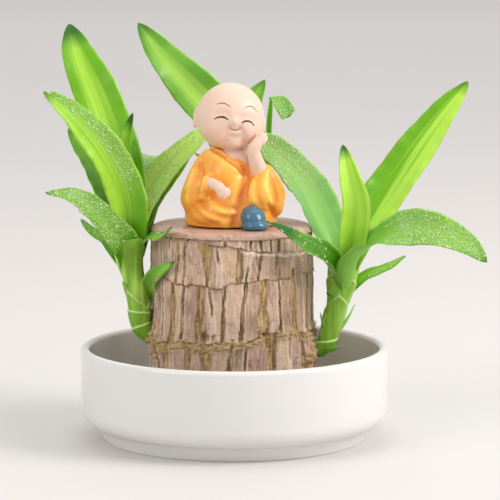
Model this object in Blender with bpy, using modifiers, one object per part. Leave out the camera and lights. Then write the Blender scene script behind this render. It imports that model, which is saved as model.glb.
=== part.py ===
"""Potted Brazilian lucky wood: a cut log with three leafy shoots, standing in a shallow white dish.

A small seated figure rests on the log's waxed top. Sizes are in millimetres and become metres in the
meshes. +Z is up, -Y is the front, and the origin is the centre of the dish's underside.
"""
import math
import random

import bmesh
import bpy
from mathutils import Matrix, Vector

MM = 0.001
GAP = 0.3

# Dish
DISH_RADIUS = 75.0
DISH_HEIGHT = 44.5
DISH_WALL = 4.6
DISH_FLOOR = 6.0
DISH_CORNER = 9.0
DISH_CORNER_TURN = 70
DISH_CREASE_HEIGHT = 6.9
DISH_CREASE_STEP = 1.0
DISH_FOOT_EDGE = 0.7
DISH_FOOT_RADIUS = 64.5
DISH_INNER_CORNER = 8.0
TURNED_SIDES = 44
SMOOTH_ANGLE = math.radians(40)

# Water
WATER_LEVEL = 16.0
WATER_HOLE_RADIUS = 42.6

# Log and the wax on its upper cut
LOG_CENTRE = Vector((-1.2, 0.0, 0.0))
LOG_BOTTOM = DISH_FLOOR + GAP
LOG_FOOT_RADIUS = 40.6
LOG_TOP_RADIUS = 38.8
LOG_SIDES = 72
RING_SCARS = (30.0, 53.6, 80.4, 95.0)
RING_HALF_WIDTH = 1.6
RING_DEPTH = 0.9
FURROW_DEPTH = 1.3
PLATE_RELIEF = 0.45
PLATE_SIDES = (2, 4)
CALLUS_HEIGHT = 0.8
CALLUS_REACH = 7.0
WAX_RADIUS = 39.8
WAX_THICKNESS = 4.0
WAX_TOP = 103.8
WAX_EDGE = 2.4
WAX_LOWER_EDGE = 0.7
LOG_TOP = WAX_TOP - WAX_THICKNESS - GAP

# Shoots
LEAF_THICKNESS = 0.9
STATION_PITCH = 10.0
STEM_SIDES = 9
STEM_STEP = 7.0
WAVE_HEIGHT = 0.5
WAVE_LENGTH = 38.0
WAVE_SHIFT = 1.7
WIDE_LEAF = 13.0

# Figure
FIGURE_BASE = WAX_TOP + GAP
HEAD_CENTRE = Vector((-1.5, 2.0, 156.0))
HEAD_RADII = Vector((17.0, 16.6, 16.6))
HEAD_TILT = math.radians(9.0)
NOSE_PLACE = Vector((0.13, -0.98, -0.13))
NOSE_RADII = (1.9, 1.6, 1.5)
EAR_PLACE = Vector((0.96, 0.06, -0.12))
EAR_RADII = (1.8, 3.0, 4.6)
NECK = [(-1, 1, 146), (-1, 1, 141), (-1, 1, 134)]
NECK_RADII = (6.5, 6.5)
FOREARM = [(14.5, -7, 126), (13.5, -8, 136), (13.6, -9, 143)]
FOREARM_RADII = (3.8, 3.4, 3.3)
PALM_CENTRE = (14.2, -9.5, 146.5)
PALM_RADII = (3.6, 3.2, 5.6)
WRIST = [(-13, -15, 129), (-9, -18, 127.5), (-5, -19.5, 124)]
WRIST_RADII = (3.4, 3.3, 3.0)
FIST_CENTRE = (-4.0, -19.5, 123.5)
FIST_RADII = (4.4, 3.6, 4.0)

# Level ovals, each a height above the wax, a centre x and y, a half width and a half depth
SOLE = [(0, 9.5, -18.5, 6.0, 7.4), (1.2, 9.5, -18.5, 6.9, 8.2), (3.6, 9.5, -18.5, 6.7, 8.0)]
UPPER = [(3.0, 9.0, -18.0, 6.2, 7.4), (6.5, 9.0, -17.6, 5.9, 6.9), (9.6, 8.8, -17.0, 4.6, 5.2),
         (11.6, 8.6, -16.4, 1.8, 2.2)]
ROBE = [(0, -1.5, 0.5, 21.5, 17.5), (4, -1.5, 0.5, 22.8, 18.6), (11, -1.5, 1.0, 22.0, 17.8),
        (19, -2.0, 1.5, 19.6, 15.8), (27, -2.5, 1.8, 17.6, 13.8), (33, -2.0, 2.0, 14.0, 11.8),
        (38, -1.5, 1.8, 9.6, 9.4)]
LEFT_SLEEVE = [(-12, 2, 138), (-19, 0, 128), (-21, -4, 117), (-17, -11, 121), (-11, -16, 127)]
LEFT_SLEEVE_RADII = (5.0, 6.5, 7.0, 6.2, 5.0)
RIGHT_SLEEVE = [(8, 0, 134), (14, -4, 131), (17, -3, 123), (19, -2, 116), (20, -1, 110)]
RIGHT_SLEEVE_RADII = (5.0, 6.6, 7.6, 7.2, 3.2)
KNEE_CENTRE = (-10, -11, 110)
KNEE_RADII = (11, 9, 5.8)


def smooth_curve(points, steps=12):
    """A dense run of points on a Catmull-Rom curve through the given ones."""
    first = points[0] * 2 - points[1]
    last = points[-1] * 2 - points[-2]
    knots = [first, *points, last]
    dense = []
    for index in range(1, len(knots) - 2):
        before, start, end, after = knots[index - 1:index + 3]
        for step in range(steps):
            t = step / steps
            dense.append(0.5 * (2 * start + (end - before) * t
                                + (2 * before - 5 * start + 4 * end - after) * t * t
                                + (3 * start - before - 3 * end + after) * t ** 3))
    dense.append(points[-1].copy())
    return dense


def even_points(route, count):
    """The given number of points, evenly spaced along the smooth curve of a route."""
    dense = smooth_curve([Vector(point) for point in route])
    reach = [0.0]
    for start, end in zip(dense, dense[1:]):
        reach.append(reach[-1] + (end - start).length)
    spaced = []
    span = 0
    for index in range(count):
        wanted = reach[-1] * index / (count - 1)
        while span < len(dense) - 2 and reach[span + 1] < wanted:
            span += 1
        part = (wanted - reach[span]) / (reach[span + 1] - reach[span])
        spaced.append(dense[span].lerp(dense[span + 1], part))
    return spaced


def route_length(route):
    """Length of a route's smooth curve."""
    dense = smooth_curve([Vector(point) for point in route])
    return sum((end - start).length for start, end in zip(dense, dense[1:]))


def blend_keys(keys, t):
    """Value at t, from 0 to 1, between keys that are evenly spaced."""
    place = t * (len(keys) - 1)
    index = min(int(place), len(keys) - 2)
    return keys[index] + (keys[index + 1] - keys[index]) * (place - index)


def tangents(points):
    """Direction of travel at each point."""
    ends = [points[0] * 2 - points[1], *points, points[-1] * 2 - points[-2]]
    return [(ends[i + 2] - ends[i]).normalized() for i in range(len(points))]


def new_object(name, mesh, collection, material=None):
    """An object for a mesh, in a collection."""
    item = bpy.data.objects.new(name, mesh)
    collection.objects.link(item)
    if material:
        mesh.materials.append(material)
    return item


def mesh_from(name, points, faces):
    """A mesh in metres from points in millimetres."""
    mesh = bpy.data.meshes.new(name)
    mesh.from_pydata([point * MM for point in points], [], faces)
    return mesh


def turn_outwards(mesh):
    """Splits a closed mesh into triangles and points them outwards."""
    work = bmesh.new()
    work.from_mesh(mesh)
    bmesh.ops.triangulate(work, faces=work.faces)
    bmesh.ops.recalc_face_normals(work, faces=work.faces)
    work.to_mesh(mesh)
    work.free()


def shade_round(mesh):
    """Shades a mesh smooth, apart from its sharp corners."""
    mesh.shade_smooth()
    mesh.set_sharp_from_angle(angle=SMOOTH_ANGLE)


def loft(name, rings):
    """A closed body through rings of as many points each, with a flat cap at both ends."""
    sides = len(rings[0])
    points = [point for ring in rings for point in ring]
    faces = []
    for row in range(len(rings) - 1):
        for side in range(sides):
            near = row * sides + side
            next_side = row * sides + (side + 1) % sides
            faces.append((near, next_side, next_side + sides, near + sides))
    faces.append(tuple(range(sides)))
    faces.append(tuple(range(len(points) - sides, len(points))))
    mesh = mesh_from(name, points, faces)
    turn_outwards(mesh)
    shade_round(mesh)
    return mesh


def tube(name, route, radii, sides=STEM_SIDES, step=STEM_STEP, grow=0.0):
    """A closed tube along a smooth route, whose radius blends evenly between the given ones."""
    count = max(4, round(route_length(route) / step))
    points = even_points(route, count)
    headings = tangents(points)
    side = headings[0].orthogonal().normalized()
    rings = []
    for index, (point, heading) in enumerate(zip(points, headings)):
        side = (side - heading * side.dot(heading)).normalized()
        across = heading.cross(side)
        radius = blend_keys(radii, index / (count - 1)) + grow
        turns = [2 * math.pi * corner / sides for corner in range(sides)]
        rings.append([point + (side * math.cos(turn) + across * math.sin(turn)) * radius for turn in turns])
    rings[0] = [point - headings[0] * grow for point in rings[0]]
    rings[-1] = [point + headings[-1] * grow for point in rings[-1]]
    return loft(name, rings)


def ovals(name, sections, grow=0.0, sides=18):
    """A closed body through level ovals that stand on the wax, grown by a clearance all round."""
    turns = [2 * math.pi * index / sides for index in range(sides)]
    rings = []
    for height, x, y, half_width, half_depth in sections:
        wide = half_width + grow
        deep = half_depth + grow
        rings.append([Vector((x + wide * math.cos(turn), y + deep * math.sin(turn), FIGURE_BASE + height))
                      for turn in turns])
    rings[0] = [point - Vector((0, 0, grow)) for point in rings[0]]
    rings[-1] = [point + Vector((0, 0, grow)) for point in rings[-1]]
    return loft(name, rings)


def ellipsoid(name, centre, radii, turn=None, grow=0.0, segments=16, rings=10):
    """A closed ellipsoid, turned by a rotation about its own centre and grown by a clearance."""
    work = bmesh.new()
    bmesh.ops.create_uvsphere(work, u_segments=segments, v_segments=rings, radius=1.0)
    place = Matrix.Translation(Vector(centre) * MM)
    if turn:
        place = place @ turn.to_4x4()
    size = [(radius + grow) * MM for radius in radii]
    bmesh.ops.transform(work, matrix=place @ Matrix.Diagonal((*size, 1)), verts=work.verts)
    bmesh.ops.triangulate(work, faces=work.faces)
    mesh = bpy.data.meshes.new(name)
    work.to_mesh(mesh)
    work.free()
    return mesh


def arc(x, z, radius, start, end, steps):
    """Profile points on an arc, from one angle in degrees to another."""
    turns = [math.radians(start + (end - start) * index / steps) for index in range(steps + 1)]
    return [(x + radius * math.cos(turn), z + radius * math.sin(turn)) for turn in turns]


def turned(name, profile, collection, material, closed=False):
    """A body turned about the Z axis. Its profile runs down the outer side, or is a closed loop."""
    mesh = bpy.data.meshes.new(name)
    points = [(x * MM, 0.0, z * MM) for x, z in profile]
    edges = [(index, index + 1) for index in range(len(points) - 1)]
    if closed:
        edges.append((len(points) - 1, 0))
    mesh.from_pydata(points, edges, [])
    item = new_object(name, mesh, collection, material)
    screw = item.modifiers.new("Turn", "SCREW")
    screw.steps = screw.render_steps = TURNED_SIDES
    screw.use_merge_vertices = True
    screw.merge_threshold = 0.00001
    screw.use_smooth_shade = True
    return item


def evaluated_mesh(item):
    """A plain mesh of an object with its modifiers applied."""
    graph = bpy.context.evaluated_depsgraph_get()
    return bpy.data.meshes.new_from_object(item.evaluated_get(graph), depsgraph=graph)


def keep_main_shell(mesh):
    """Drops loose scraps and the walls of sealed hollows, and keeps the largest shell."""
    work = bmesh.new()
    work.from_mesh(mesh)
    unseen = set(work.verts)
    shells = []
    while unseen:
        shell = {unseen.pop()}
        front = list(shell)
        while front:
            vert = front.pop()
            near = {edge.other_vert(vert) for edge in vert.link_edges} - shell
            shell |= near
            front.extend(near)
        unseen -= shell
        shells.append(shell)
    shells.sort(key=len)
    for shell in shells[:-1]:
        bmesh.ops.delete(work, geom=list(shell), context="VERTS")
    work.to_mesh(mesh)
    work.free()


def joined(name, meshes, collection, material):
    """One object whose mesh is the union of closed meshes."""
    spare = bpy.data.collections.new(name + " pieces")
    bpy.context.scene.collection.children.link(spare)
    core = new_object(name, meshes[0], collection)
    for index, mesh in enumerate(meshes[1:]):
        new_object(f"{name} piece {index}", mesh, spare)
    union = core.modifiers.new("Join", "BOOLEAN")
    union.operation = "UNION"
    union.operand_type = "COLLECTION"
    union.collection = spare
    union.solver = "EXACT"
    mesh = evaluated_mesh(core)
    keep_main_shell(mesh)
    shade_round(mesh)
    mesh.materials.clear()
    mesh.materials.append(material)
    core.modifiers.remove(union)
    core.data = mesh
    for piece in list(spare.objects):
        bpy.data.objects.remove(piece)
    bpy.data.collections.remove(spare)
    return core


def cut_with(item, cutters, name):
    """Cuts an object with every cutter of a collection."""
    cut = item.modifiers.new(name, "BOOLEAN")
    cut.operation = "DIFFERENCE"
    cut.operand_type = "COLLECTION"
    cut.collection = cutters
    cut.solver = "EXACT"


def cutter_group(name, meshes, parent):
    """A collection of cutters, shown as wires and left out of renders."""
    group = bpy.data.collections.new(name)
    parent.children.link(group)
    for index, mesh in enumerate(meshes):
        item = new_object(f"{name} {index}", mesh, group)
        item.hide_render = True
        item.display_type = "WIRE"
    return group


def finish_material(name, colour, roughness, transmission=0.0):
    """A Principled material in a linear colour."""
    material = bpy.data.materials.new(name)
    material.use_nodes = True
    shader = material.node_tree.nodes["Principled BSDF"]
    shader.inputs["Base Color"].default_value = (*colour, 1.0)
    shader.inputs["Roughness"].default_value = roughness
    shader.inputs["Metallic"].default_value = 0.0
    shader.inputs["Transmission Weight"].default_value = transmission
    return material


def leaf(route, width, faces, fold=(50, 16, 8), base=0.55, shoulder=0.4, tip=(3.4, 0.7)):
    """A leaf's shape.

    route runs along its rib and width is its widest. faces are the ways its upper side looks, from
    foot to tip. fold is how far each half is raised, in degrees, from foot to tip. base is its foot's
    share of the width, shoulder is where it is widest, and tip gives how it narrows.
    """
    return {"route": route, "width": width, "faces": [Vector(face) for face in faces], "fold": fold,
            "base": base, "shoulder": shoulder, "tip": tip}


def bract(route, width, faces):
    """A short sheathing leaf that is widest at its foot."""
    return leaf(route, width, faces, fold=(55, 30), base=1.0, shoulder=0.1, tip=(1.6, 0.9))


def leaf_width(shape, t):
    """Width of a leaf at t along it."""
    rise = min(t / shape["shoulder"], 1.0)
    rise = rise * rise * (3 - 2 * rise)
    power, root = shape["tip"]
    return shape["width"] * (shape["base"] + (1 - shape["base"]) * rise) * (1 - t ** power) ** root


def leaf_mesh(name, shape, phase):
    """A closed leaf: a folded strip of triangles with a wall of even thickness."""
    stations = max(5, round(route_length(shape["route"]) / STATION_PITCH))
    across = (-1.0, -0.5, 0.0, 0.5, 1.0) if shape["width"] > WIDE_LEAF else (-1.0, 0.0, 1.0)
    ribs = even_points(shape["route"], stations + 1)
    headings = tangents(ribs)
    points = []
    for index in range(stations):
        t = index / stations
        face = blend_keys(shape["faces"], t)
        side = headings[index].cross(face).normalized()
        lift = side.cross(headings[index]).normalized()
        half = leaf_width(shape, t) / 2
        fold = math.radians(blend_keys(shape["fold"], t))
        travelled = route_length(shape["route"]) * t
        wave = WAVE_HEIGHT * math.sin(2 * math.pi * travelled / WAVE_LENGTH + phase)
        for place in across:
            spread = side * half * place * math.cos(fold)
            raised = lift * (half * abs(place) * math.sin(fold) + wave * place * min(half / WIDE_LEAF, 1.0))
            points.append(ribs[index] + spread + raised)
    points.append(ribs[-1])
    columns = len(across)
    faces = []
    for row in range(stations - 1):
        for column in range(columns - 1):
            near = row * columns + column
            faces.append((near, near + 1, near + columns))
            faces.append((near + 1, near + columns + 1, near + columns))
    last = (stations - 1) * columns
    faces += [(last + column, last + column + 1, len(points) - 1) for column in range(columns - 1)]
    strip = bpy.data.objects.new(name, mesh_from(name, points, faces))
    bpy.context.scene.collection.objects.link(strip)
    wall = strip.modifiers.new("Wall", "SOLIDIFY")
    wall.thickness = LEAF_THICKNESS * MM
    wall.offset = 0.0
    mesh = evaluated_mesh(strip)
    bpy.data.objects.remove(strip)
    turn_outwards(mesh)
    return mesh


# Each shoot's stem runs from its plug inside the log to its crown
LEFT_STEM = [(-34, -7, 50), (-40, -8, 50), (-45.5, -9, 55), (-47, -9, 68), (-49, -7, 80), (-50, -5, 93),
             (-50, -2, 104)]
LEFT_STEM_RADII = (4.0, 4.2, 4.4, 4.9, 5.6, 5.6, 3.6)
RIGHT_STEM = [(32, -8, 43), (38, -8, 43), (44, -9, 47), (48.5, -9, 61), (51, -8, 73), (54, -6, 84),
              (55, -4, 94)]
RIGHT_STEM_RADII = (4.0, 4.4, 4.8, 5.4, 5.6, 5.2, 3.4)
REAR_STEM = [(8, 31, 50), (9, 38, 50), (10, 45, 55), (11, 48, 68), (11, 50, 84), (11, 51, 99)]
REAR_STEM_RADII = (4.0, 4.2, 4.6, 5.2, 5.4, 3.6)

LEFT_LEAVES = [
    leaf([(-49, -3, 92), (-53, 4, 118), (-59, 12, 142), (-67, 20, 164), (-76, 28, 183), (-82, 42, 199)],
         24, [(0.3, -1, 0.2), (0.1, -1, 0.3), (0, -0.7, 0.8)]),
    leaf([(-50, -6, 88), (-53, -14, 120), (-61, -24, 140), (-73, -34, 157), (-82, -40, 166), (-89, -46, 172)],
         21, [(0.3, -1, 0.2), (0.3, -0.9, 0.5)]),
    leaf([(-51, 0, 92), (-62, 10, 117), (-71, 20, 132), (-82, 30, 148)], 16, [(0.6, -0.8, 0.2)] * 2),
    leaf([(-49, -8, 76), (-56, -18, 99), (-64, -26, 114), (-73, -32, 121), (-81, -36, 124), (-89, -40, 124)],
         19, [(0.3, -1, 0.3), (0.2, -0.6, 0.8), (0.1, -0.35, 1)], base=0.7),
    leaf([(-50, -5, 74), (-61, 0, 91), (-68, 4, 99), (-75, 8, 106)], 8, [(0.5, -0.5, 0.7)] * 2),
    leaf([(-48, -4, 88), (-46, 2, 111), (-37, 12, 125), (-28, 22, 135), (-17, 30, 144), (-7, 36, 150)],
         18, [(-0.4, -0.8, 0.3), (-0.5, -0.45, 0.75)]),
    leaf([(-48, 0, 90), (-43, 8, 108), (-34, 18, 122), (-22, 28, 134)], 11, [(-0.4, -0.6, 0.6)] * 2),
    leaf([(-48, 2, 88), (-44, 14, 114), (-41, 30, 130), (-40, 46, 132), (-43, 62, 124)],
         17, [(0, -0.9, 0.45), (0, -0.3, 1), (0, 0.4, 0.9)]),
    leaf([(-50, -2, 95), (-51, 1, 121), (-52, 3, 140), (-49, 5, 158)],
         11, [(-0.5, -0.85, 0)] * 2, fold=(60, 40)),
    leaf([(-49, 0, 94), (-47, 6, 120), (-49, 10, 137), (-50, 13, 148)], 10, [(-0.8, -0.6, 0.1)] * 2),
    leaf([(-48, -6, 88), (-40, -18, 100), (-35, -28, 102), (-29, -37, 108)], 8, [(-0.2, -0.8, 0.5)] * 2),
    bract([(-47, -8, 70), (-40, -18, 82), (-34, -30, 87), (-28, -36, 91)], 10, [(0, -0.9, 0.4)] * 2),
    bract([(-46, -9, 57), (-48.5, -12, 66), (-54, -13, 78)], 11, [(0.3, 1, 0.1)] * 2),
]

RIGHT_LEAVES = [
    leaf([(53, -6, 77), (48, -5, 91), (42, 2, 106), (34, 16, 122), (23, 27, 134), (12, 32, 142),
          (4, 36, 149)],
         24, [(0.7, -0.75, 0.2), (0.45, -0.9, 0.3), (0.3, -0.8, 0.5)]),
    leaf([(51, -8, 73), (44, -22, 88), (34, -32, 97), (24, -38, 105), (15, -42, 111)],
         15, [(0.2, -0.5, 0.85)] * 2, fold=(60, 35)),
    leaf([(54, -7, 80), (57, -12, 100), (58, -14, 115), (55, -14, 129), (52, -12, 144)],
         15, [(0, -1, 0.1)] * 2, fold=(55, 30)),
    leaf([(55, -4, 82), (64, 3, 101), (74, 11, 117), (85, 18, 132), (100, 26, 152), (116, 34, 171)],
         22, [(-0.3, -0.95, 0.2)] * 2),
    leaf([(52, -9, 70), (60, -18, 90), (71, -24, 100), (83, -28, 105), (96, -31, 105), (110, -33, 99),
          (120, -35, 90)],
         21, [(-0.5, 0.6, 0.6), (-0.15, -0.2, 0.9), (0.2, -0.95, 0.3), (0.2, -0.95, 0.3)], shoulder=0.6),
    leaf([(52, -7, 66), (63, -3, 77), (75, 0, 83), (84, 4, 88)], 9, [(-0.3, -0.4, 0.85)] * 2),
    bract([(52, -9, 68), (61, -13, 78), (64, -14, 86)], 6, [(-0.5, 0.6, 0.6)] * 2),
    bract([(48, -10, 56), (50, -14, 64), (51, -14, 72)], 9, [(0, 1, 0.1)] * 2),
    bract([(46, -9, 46), (43, -12, 55), (41.5, -14, 63)], 6, [(0.8, 0.5, 0)] * 2),
    bract([(48, -8, 48), (55, -4, 57), (59, 0, 65)], 6, [(-0.8, 0.2, 0.3)] * 2),
    bract([(43, -9, 42), (48, -14, 44), (53, -15, 47)], 7, [(0, 0.3, 1)] * 2),
]

REAR_LEAVES = [
    leaf([(11, 50, 92), (8, 47, 118), (2, 48, 138), (-8, 50, 155), (-21, 50, 169), (-34, 49, 183),
          (-48, 47, 199)],
         23, [(0.2, -1, 0.15)] * 2),
    leaf([(11, 51, 92), (4, 52, 120), (2, 56, 136), (6, 60, 153), (16, 64, 169)], 13, [(-0.2, -1, 0.1)] * 2),
    leaf([(12, 51, 92), (12, 50, 115), (14, 50, 135), (17, 54, 155), (21, 60, 159), (28, 66, 148)],
         12, [(1, -0.1, 0), (1, -0.1, 0), (0.3, -0.9, 0.5)], shoulder=0.6),
    leaf([(11, 49, 90), (6, 42, 111), (-6, 40, 125), (-20, 38, 135)], 9, [(0.3, -0.6, 0.7)] * 2),
    leaf([(10, 52, 92), (3, 66, 112), (-8, 84, 118), (-20, 100, 106)], 17, [(0.3, -0.4, 0.9)] * 2),
    leaf([(12, 52, 90), (22, 66, 108), (32, 82, 108), (40, 96, 94)], 16, [(-0.3, -0.3, 0.9)] * 2),
    leaf([(11, 52, 94), (9, 62, 116), (6, 74, 130), (2, 92, 136)], 16, [(0.1, -0.9, 0.45), (0.1, -0.3, 1)]),
    bract([(10, 47, 58), (8, 53, 68), (5, 57, 78)], 9, [(0.3, -1, 0.2)] * 2),
    bract([(11, 49, 70), (17, 50, 82), (24, 54, 90)], 8, [(-0.6, -0.3, 0.7)] * 2),
]


def make_dish(parts, glaze):
    """The shallow tray: a full flat underside, a foot, a creased corner and a rounded rim."""
    rim = DISH_WALL / 2
    inner = DISH_RADIUS - DISH_WALL
    profile = [(0.0, DISH_FLOOR)]
    profile += arc(inner - DISH_INNER_CORNER, DISH_FLOOR + DISH_INNER_CORNER, DISH_INNER_CORNER, -90, 0, 3)
    profile += arc(DISH_RADIUS - rim, DISH_HEIGHT - rim, rim, 180, 0, 4)
    corner_height = DISH_CREASE_HEIGHT + DISH_CORNER * math.sin(math.radians(DISH_CORNER_TURN))
    corner = arc(DISH_RADIUS - DISH_CORNER, corner_height, DISH_CORNER, 0, -DISH_CORNER_TURN, 3)
    crease_radius = corner[-1][0]
    profile += corner
    profile += [(crease_radius - DISH_CREASE_STEP, DISH_CREASE_HEIGHT - DISH_CREASE_STEP)]
    profile += [(DISH_FOOT_RADIUS + DISH_FOOT_EDGE, DISH_FOOT_EDGE), (DISH_FOOT_RADIUS, 0.0), (0.0, 0.0)]
    turned("dish", profile, parts, glaze)


def make_water(parts, clear):
    """The ring of water between the log and the dish."""
    corner = DISH_INNER_CORNER - GAP
    centre_x = DISH_RADIUS - DISH_WALL - DISH_INNER_CORNER
    centre_z = DISH_FLOOR + DISH_INNER_CORNER
    profile = [(WATER_HOLE_RADIUS, WATER_LEVEL), (centre_x + corner, WATER_LEVEL)]
    profile += arc(centre_x, centre_z, corner, 0, -90, 3)
    profile += [(WATER_HOLE_RADIUS, DISH_FLOOR + GAP)]
    turned("water", profile, parts, clear, closed=True)


def ring_height(scar, angle):
    """Height of a ring scar, which wanders a little round the log."""
    return scar + 1.1 * math.sin(2 * angle + scar) + 0.6 * math.sin(5 * angle + 2 * scar)


def plate_offsets(rng):
    """How far each side of the log stands in or out in one band: plates with a furrow between them."""
    offsets = []
    while len(offsets) < LOG_SIDES:
        offsets.append(-FURROW_DEPTH)
        stand = rng.uniform(-PLATE_RELIEF, PLATE_RELIEF)
        offsets += [stand] * rng.randint(*PLATE_SIDES)
    return offsets[:LOG_SIDES]


def callus(point):
    """Extra thickness of the bark round the foot of each shoot."""
    feet = (LEFT_STEM[1], RIGHT_STEM[1], REAR_STEM[1])
    nearest = min((point - Vector(foot)).length for foot in feet)
    return CALLUS_HEIGHT * math.exp(-(nearest / CALLUS_REACH) ** 2)


def log_rows(last):
    """Rows up the log: a band, a share of its height, a step from there, and whether plates shape it."""
    rows = [(0, 0.0, 0.0, True)]
    for band in range(last):
        rows += [(band, 0.5, 0.0, True), (band, 1.0, -RING_HALF_WIDTH, True), (band, 1.0, 0.0, False),
                 (band + 1, 0.0, RING_HALF_WIDTH, True)]
    return [*rows, (last, 1.0, 0.0, True)]


def log_ring(limits, bands, band, share, step, plates):
    """One ring of points round the log."""
    last = len(bands) - 1
    ring = []
    for side in range(LOG_SIDES):
        angle = 2 * math.pi * side / LOG_SIDES
        low = ring_height(limits[band], angle) if band > 0 else limits[band]
        high = ring_height(limits[band + 1], angle) if band < last else limits[band + 1]
        height = low + (high - low) * share + step
        rise = (height - LOG_BOTTOM) / (LOG_TOP - LOG_BOTTOM)
        radius = LOG_FOOT_RADIUS + (LOG_TOP_RADIUS - LOG_FOOT_RADIUS) * rise
        radius += bands[band][side] if plates else -RING_DEPTH
        outward = Vector((math.cos(angle), math.sin(angle), 0))
        point = LOG_CENTRE + outward * radius + Vector((0, 0, height))
        ring.append(point + outward * callus(point))
    return ring


def make_log(parts, bark, sockets):
    """The log: bark plates in bands between ring scars, with a socket for each shoot."""
    rng = random.Random(11)
    limits = [LOG_BOTTOM, *RING_SCARS, LOG_TOP]
    bands = [plate_offsets(rng) for _ in limits[1:]]
    rings = [log_ring(limits, bands, *row) for row in log_rows(len(bands) - 1)]
    cut_with(new_object("log", loft("log", rings), parts, bark), sockets, "Sockets")


def make_wax_cap(parts, wax):
    """The wax on the log's upper cut, with a rounded edge."""
    bottom = WAX_TOP - WAX_THICKNESS
    edge = WAX_EDGE
    profile = [(0.0, WAX_TOP), (WAX_RADIUS - edge, WAX_TOP)]
    profile += arc(WAX_RADIUS - edge, WAX_TOP - edge, edge, 60, 0, 3)
    profile += [(WAX_RADIUS, bottom + WAX_LOWER_EDGE), (WAX_RADIUS - WAX_LOWER_EDGE, bottom), (0.0, bottom)]
    turned("wax_cap", profile, parts, wax).location = LOG_CENTRE * MM


def make_shoot(name, stem, radii, leaves, parts, green):
    """A leafy shoot: its stem and every leaf fused in one body."""
    meshes = [tube(name, stem, radii)]
    for index, shape in enumerate(leaves):
        meshes.append(leaf_mesh(f"{name} leaf {index}", shape, phase=WAVE_SHIFT * index))
    joined(name, meshes, parts, green)


def head_turn():
    """The head leans towards the hand at its cheek."""
    return Matrix.Rotation(HEAD_TILT, 3, "Y")


def head_meshes(grow=0.0):
    """The head's ball and neck, grown by a clearance for what takes or touches them."""
    ball = ellipsoid("figure_head", HEAD_CENTRE, HEAD_RADII, head_turn(), grow, segments=20, rings=13)
    return [ball, tube("neck", NECK, NECK_RADII, grow=grow)]


def feature_meshes():
    """The nose and two long ears, set in the head."""
    turn = head_turn()
    nose_centre = HEAD_CENTRE + turn @ (NOSE_PLACE * HEAD_RADII)
    meshes = [ellipsoid("nose", nose_centre, NOSE_RADII, turn, segments=8, rings=5)]
    for side in (-1, 1):
        place = HEAD_CENTRE + turn @ (EAR_PLACE * Vector((side, 1, 1)) * HEAD_RADII)
        meshes.append(ellipsoid("ear", place, EAR_RADII, turn, segments=10, rings=6))
    return meshes


def cheek_arm_meshes(grow=0.0):
    """The forearm that rises from the sleeve to a hand laid along the cheek."""
    palm = ellipsoid("palm", PALM_CENTRE, PALM_RADII, head_turn(), grow)
    return [tube("figure_cheek_arm", FOREARM, FOREARM_RADII, grow=grow), palm]


def lap_hand_meshes(grow=0.0):
    """The hand that lies in the lap, with its wrist."""
    return [tube("figure_lap_hand", WRIST, WRIST_RADII, grow=grow),
            ellipsoid("fist", FIST_CENTRE, FIST_RADII, grow=grow)]


def shoe_meshes(grow=0.0):
    """A rounded shoe that shows under the robe, flat on the wax."""
    return [ovals("figure_shoe", SOLE, grow), ovals("upper", UPPER, grow)]


def robe_meshes():
    """The robe: a bell over the crossed legs, two sleeves and a knee."""
    return [ovals("figure_robe", ROBE, sides=24),
            tube("left sleeve", LEFT_SLEEVE, LEFT_SLEEVE_RADII, sides=12, step=6),
            tube("right sleeve", RIGHT_SLEEVE, RIGHT_SLEEVE_RADII, sides=12, step=5),
            ellipsoid("knee", KNEE_CENTRE, KNEE_RADII)]


def make_figure(parts, cutters, robe_orange, skin, shoe_blue):
    """The seated figure: robe, head, both hands and a shoe, each clear of the next."""
    joined("figure_head", head_meshes() + feature_meshes(), parts, skin)
    joined("figure_shoe", shoe_meshes(), parts, shoe_blue)
    joined("figure_lap_hand", lap_hand_meshes(), parts, skin)
    cheek_arm = joined("figure_cheek_arm", cheek_arm_meshes(), parts, skin)
    cut_with(cheek_arm, cutter_group("Head clearance", head_meshes(GAP), cutters), "Cheek")
    robe = joined("figure_robe", robe_meshes(), parts, robe_orange)
    clearances = {"Collar": head_meshes, "Right cuff": cheek_arm_meshes, "Left cuff": lap_hand_meshes,
                  "Shoe room": shoe_meshes}
    for name, limb_meshes in clearances.items():
        cut_with(robe, cutter_group(name, limb_meshes(GAP), cutters), name)


def clear_scene():
    """Removes whatever the scene holds."""
    for item in list(bpy.data.objects):
        bpy.data.objects.remove(item)


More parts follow.
